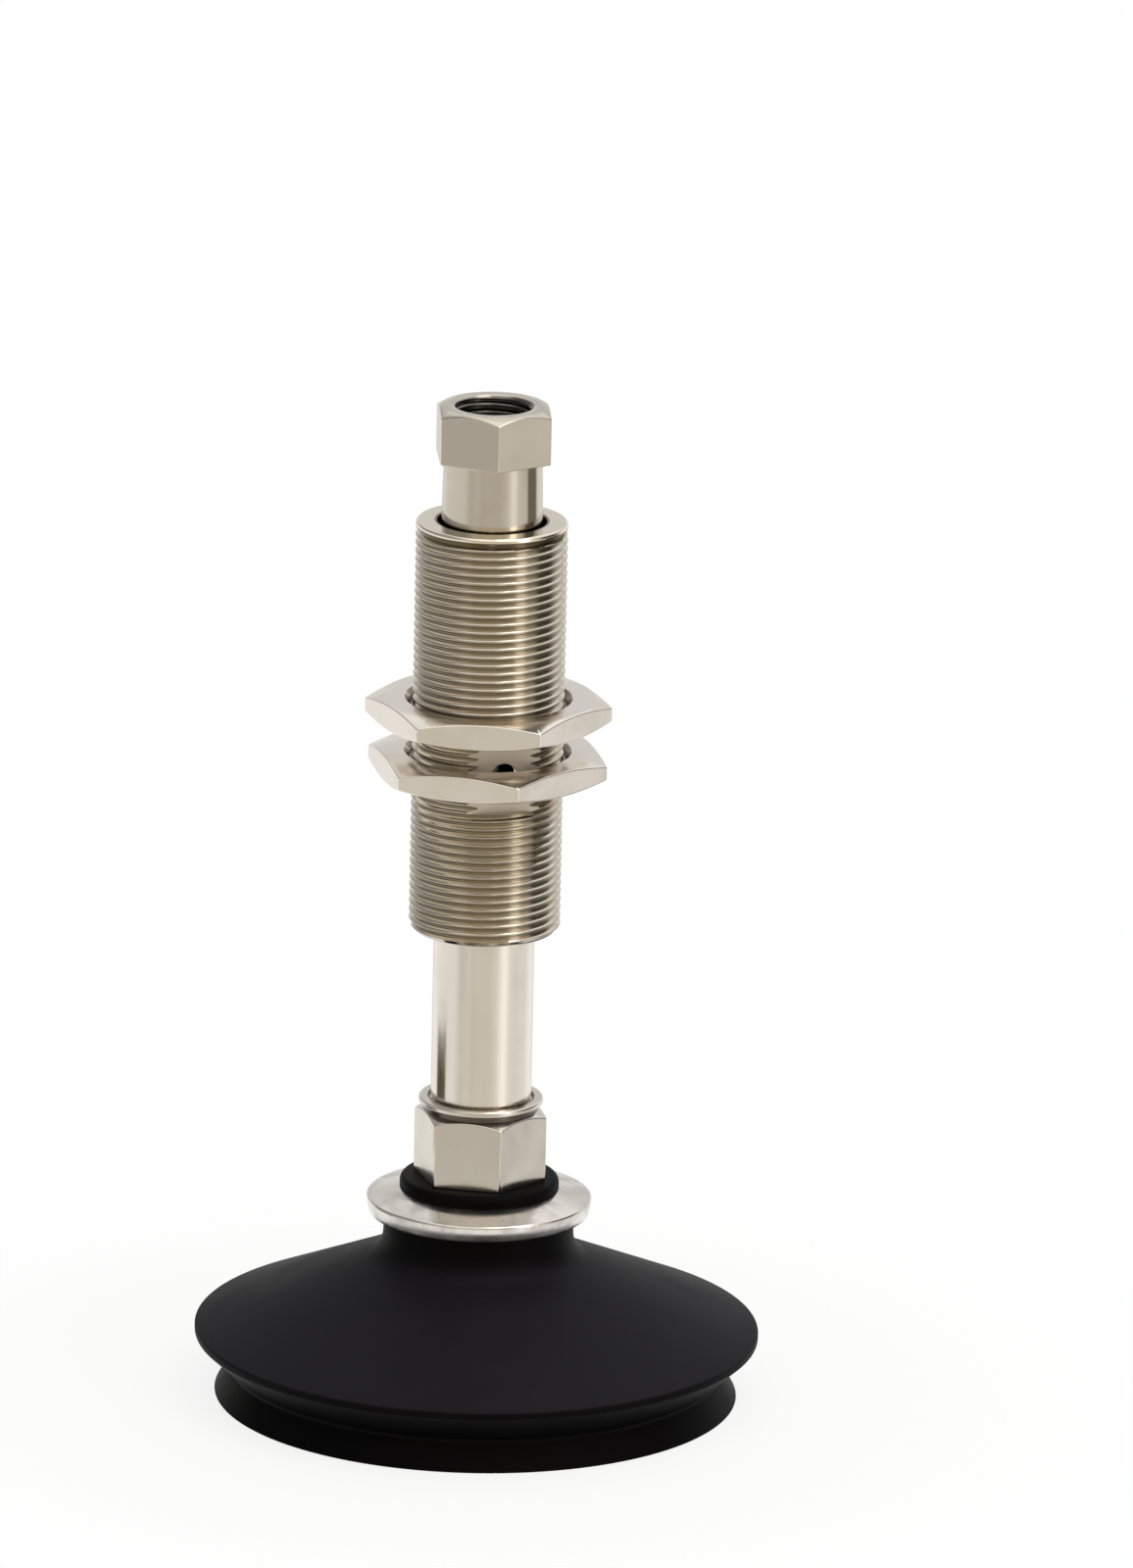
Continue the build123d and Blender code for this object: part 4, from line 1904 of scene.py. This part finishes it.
@dataclass(frozen=True)
class TablePaint(Finish):
    """White that takes the object's shadow, fades out to the side and is clear from below.

    Args:
        name: The material's name.
        fade: Radii at which it starts to fade and is gone.
        tint: Its colour.
        glow: Share of plain white in it, where the camera or a reflection sees it.
    """

    name: str
    fade: tuple[float, float]
    tint: Colour = (0.9, 0.9, 0.9)
    glow: float = 0.85

    def shader(self, recipe: Recipe) -> bpy.types.Node:
        """Fills the node tree.

        Args:
            recipe: The tree.

        Returns:
            The mixed shader.
        """
        path = recipe.node("ShaderNodeLightPath").outputs
        looked = Value(recipe, path["Is Camera Ray"]).most(path["Is Glossy Ray"])
        paint = recipe.node("ShaderNodeBsdfDiffuse", None, {"Color": self.tint})
        glow = recipe.node("ShaderNodeEmission", None, {"Color": WHITE})
        lit = recipe.cover(looked * self.glow, paint, glow)
        # The disc's own faces look down, so a ray from above meets their backs.
        below = 1.0 - Value(recipe, recipe.node("ShaderNodeNewGeometry").outputs["Backfacing"])
        faded = Spot.on(recipe).radius.ramp(*self.fade).most(below)
        return recipe.cover(faded, lit, recipe.node("ShaderNodeBsdfTransparent"))


@dataclass(frozen=True)
class Card:
    """An upright dark card beside the object, which only polished pieces show.

    Args:
        side: Its direction, counted from the camera's towards +X.
        distance: How far it stands from the Z axis.
        half: Half of its width.
        low: Height of its lower edge.
        high: Height of its upper edge.
        tone: Its colour.
    """

    side: float
    distance: float
    half: float
    low: float
    high: float
    tone: Colour

    def stand(self, number: int) -> None:
        """Makes the card.

        Args:
            number: The card's number, for its names.
        """
        card = block(f"card_{number}", (-self.half, -self.distance - 1.0, self.low),
                     (self.half, -self.distance, self.high))
        spin(card, self.side)
        card.data.materials.append(CardPaint(f"card_{number}_dark", self.tone).material())
        card.visible_camera = card.visible_diffuse = card.visible_shadow = False


@dataclass(frozen=True)
class Softbox:
    """A large soft lamp above the table, a little to the right and in front.

    Args:
        place: Where it hangs.
        target: Where it points.
        size: Its diameter.
        power: Its power in watts.
    """

    place: tuple[float, float, float] = (420.0, -360.0, 950.0)
    target: tuple[float, float, float] = (0.0, 0.0, 60.0)
    size: float = 700.0
    power: float = 2.2

    def hang(self) -> None:
        """Makes the lamp."""
        light = bpy.data.lights.new("softbox", "AREA")
        light.shape, light.size, light.energy = "DISK", self.size / METRE, self.power
        mount("softbox", light, Vector(self.place), Vector(self.target))


@dataclass
class Studio:
    """A small white table in a plain, soft studio with a white backdrop.

    Args:
        table: Radius of the table.
        table_top: Its height.
        fade: Shares of its radius at which it starts to fade and is gone.
        room: The room that reflections show.
        cards: Dark cards that the neck and the rod show.
        lamp: The lamp.
    """

    table: float = 95.0
    table_top: float = -0.02
    fade: tuple[float, float] = (0.5, 0.98)
    room: Room = Room()
    cards: tuple[Card, ...] = (Card(102.0, 120.0, 34.0, 62.0, 96.0, (0.20, 0.18, 0.145)),
                               Card(-103.0, 80.0, 22.0, 1.0, 22.0, (0.05, 0.04, 0.02)))
    lamp: Softbox = Softbox()

    def surroundings(self) -> None:
        """Makes the world: white where the camera looks, the room for everything else."""
        world = bpy.data.worlds.new("studio")
        bpy.context.scene.world = world
        world.use_nodes = True
        recipe = Recipe(world.node_tree)
        room, seen = (recipe.node("ShaderNodeBackground", None, {"Color": colour})
                      for colour in (self.room.colour(recipe), WHITE))
        camera = recipe.node("ShaderNodeLightPath").outputs["Is Camera Ray"]
        recipe.end("ShaderNodeOutputWorld", recipe.cover(camera, room, seen))

    def floor(self) -> None:
        """Makes the table."""
        skin = RingSkin(DISC_PLAN.angles())
        start, gone = (self.table * share for share in self.fade)
        skin.rings([(radius, self.table_top) for radius in (0.0, start, self.table)])
        table = skin.mesh("table_top", closed=False)
        table.data.materials.append(TablePaint("table_white", (start, gone)).material())

    def build(self) -> None:
        """Builds the room, the table, the cards and the lamp in order."""
        self.surroundings()
        self.floor()
        for number, card in enumerate(self.cards, 1):
            card.stand(number)
        self.lamp.hang()
        log.info("studio: %d cards", len(self.cards))


def main() -> None:
    """Builds the studio and every piece in order, and reports each."""
    logging.basicConfig(level=logging.INFO, format="%(name)s: %(message)s")
    bpy.context.scene.view_settings.view_transform = "Standard"
    Viewpoint().place()
    Studio().build()
    pieces: list[Piece] = [
        ThreadedSleeve("sleeve_threaded", "threaded_sleeve", Body.SLEEVE, Slot.SLEEVE,
                       NICKEL_SLEEVE),
        MountingNut("nut_above", "upper_mounting_nut", Body.UPPER_NUT, Slot.NUT, NICKEL_NUT,
                    turn=25.0),
        MountingNut("nut_below", "lower_mounting_nut", Body.LOWER_NUT, Slot.NUT, NICKEL_NUT,
                    turn=14.5),
        PortFitting("port_head", "port_fitting", Body.SPINDLE, Slot.PORT, NICKEL_PORT),
        SpindleTube("rod_hollow", "spindle_tube", Body.SPINDLE, Slot.ROD, NICKEL_ROD),
        CupAdapter("adapter_hexagon", "cup_adapter", Body.SPINDLE, Slot.ADAPTER, NICKEL_ADAPTER),
        LockRing("ring_bevelled", "cup_lock_ring", Body.SPINDLE, Slot.RING, NICKEL_RING),
        SuctionCup("cup_bellows", "suction_cup", Body.SPINDLE, Slot.CUP, CUP_RUBBER),
        CoilSpring("spring_coil", "compression_spring", Body.SLEEVE, Slot.SPRING, SPRING_STEEL),
        FilterScreen("filter_disc", "filter_screen", Body.SPINDLE, Slot.FILTER, FILTER_STEEL),
    ]
    for piece in pieces:
        piece.make()
    InnerPieces().dress()


if __name__ == "__main__":
    main()
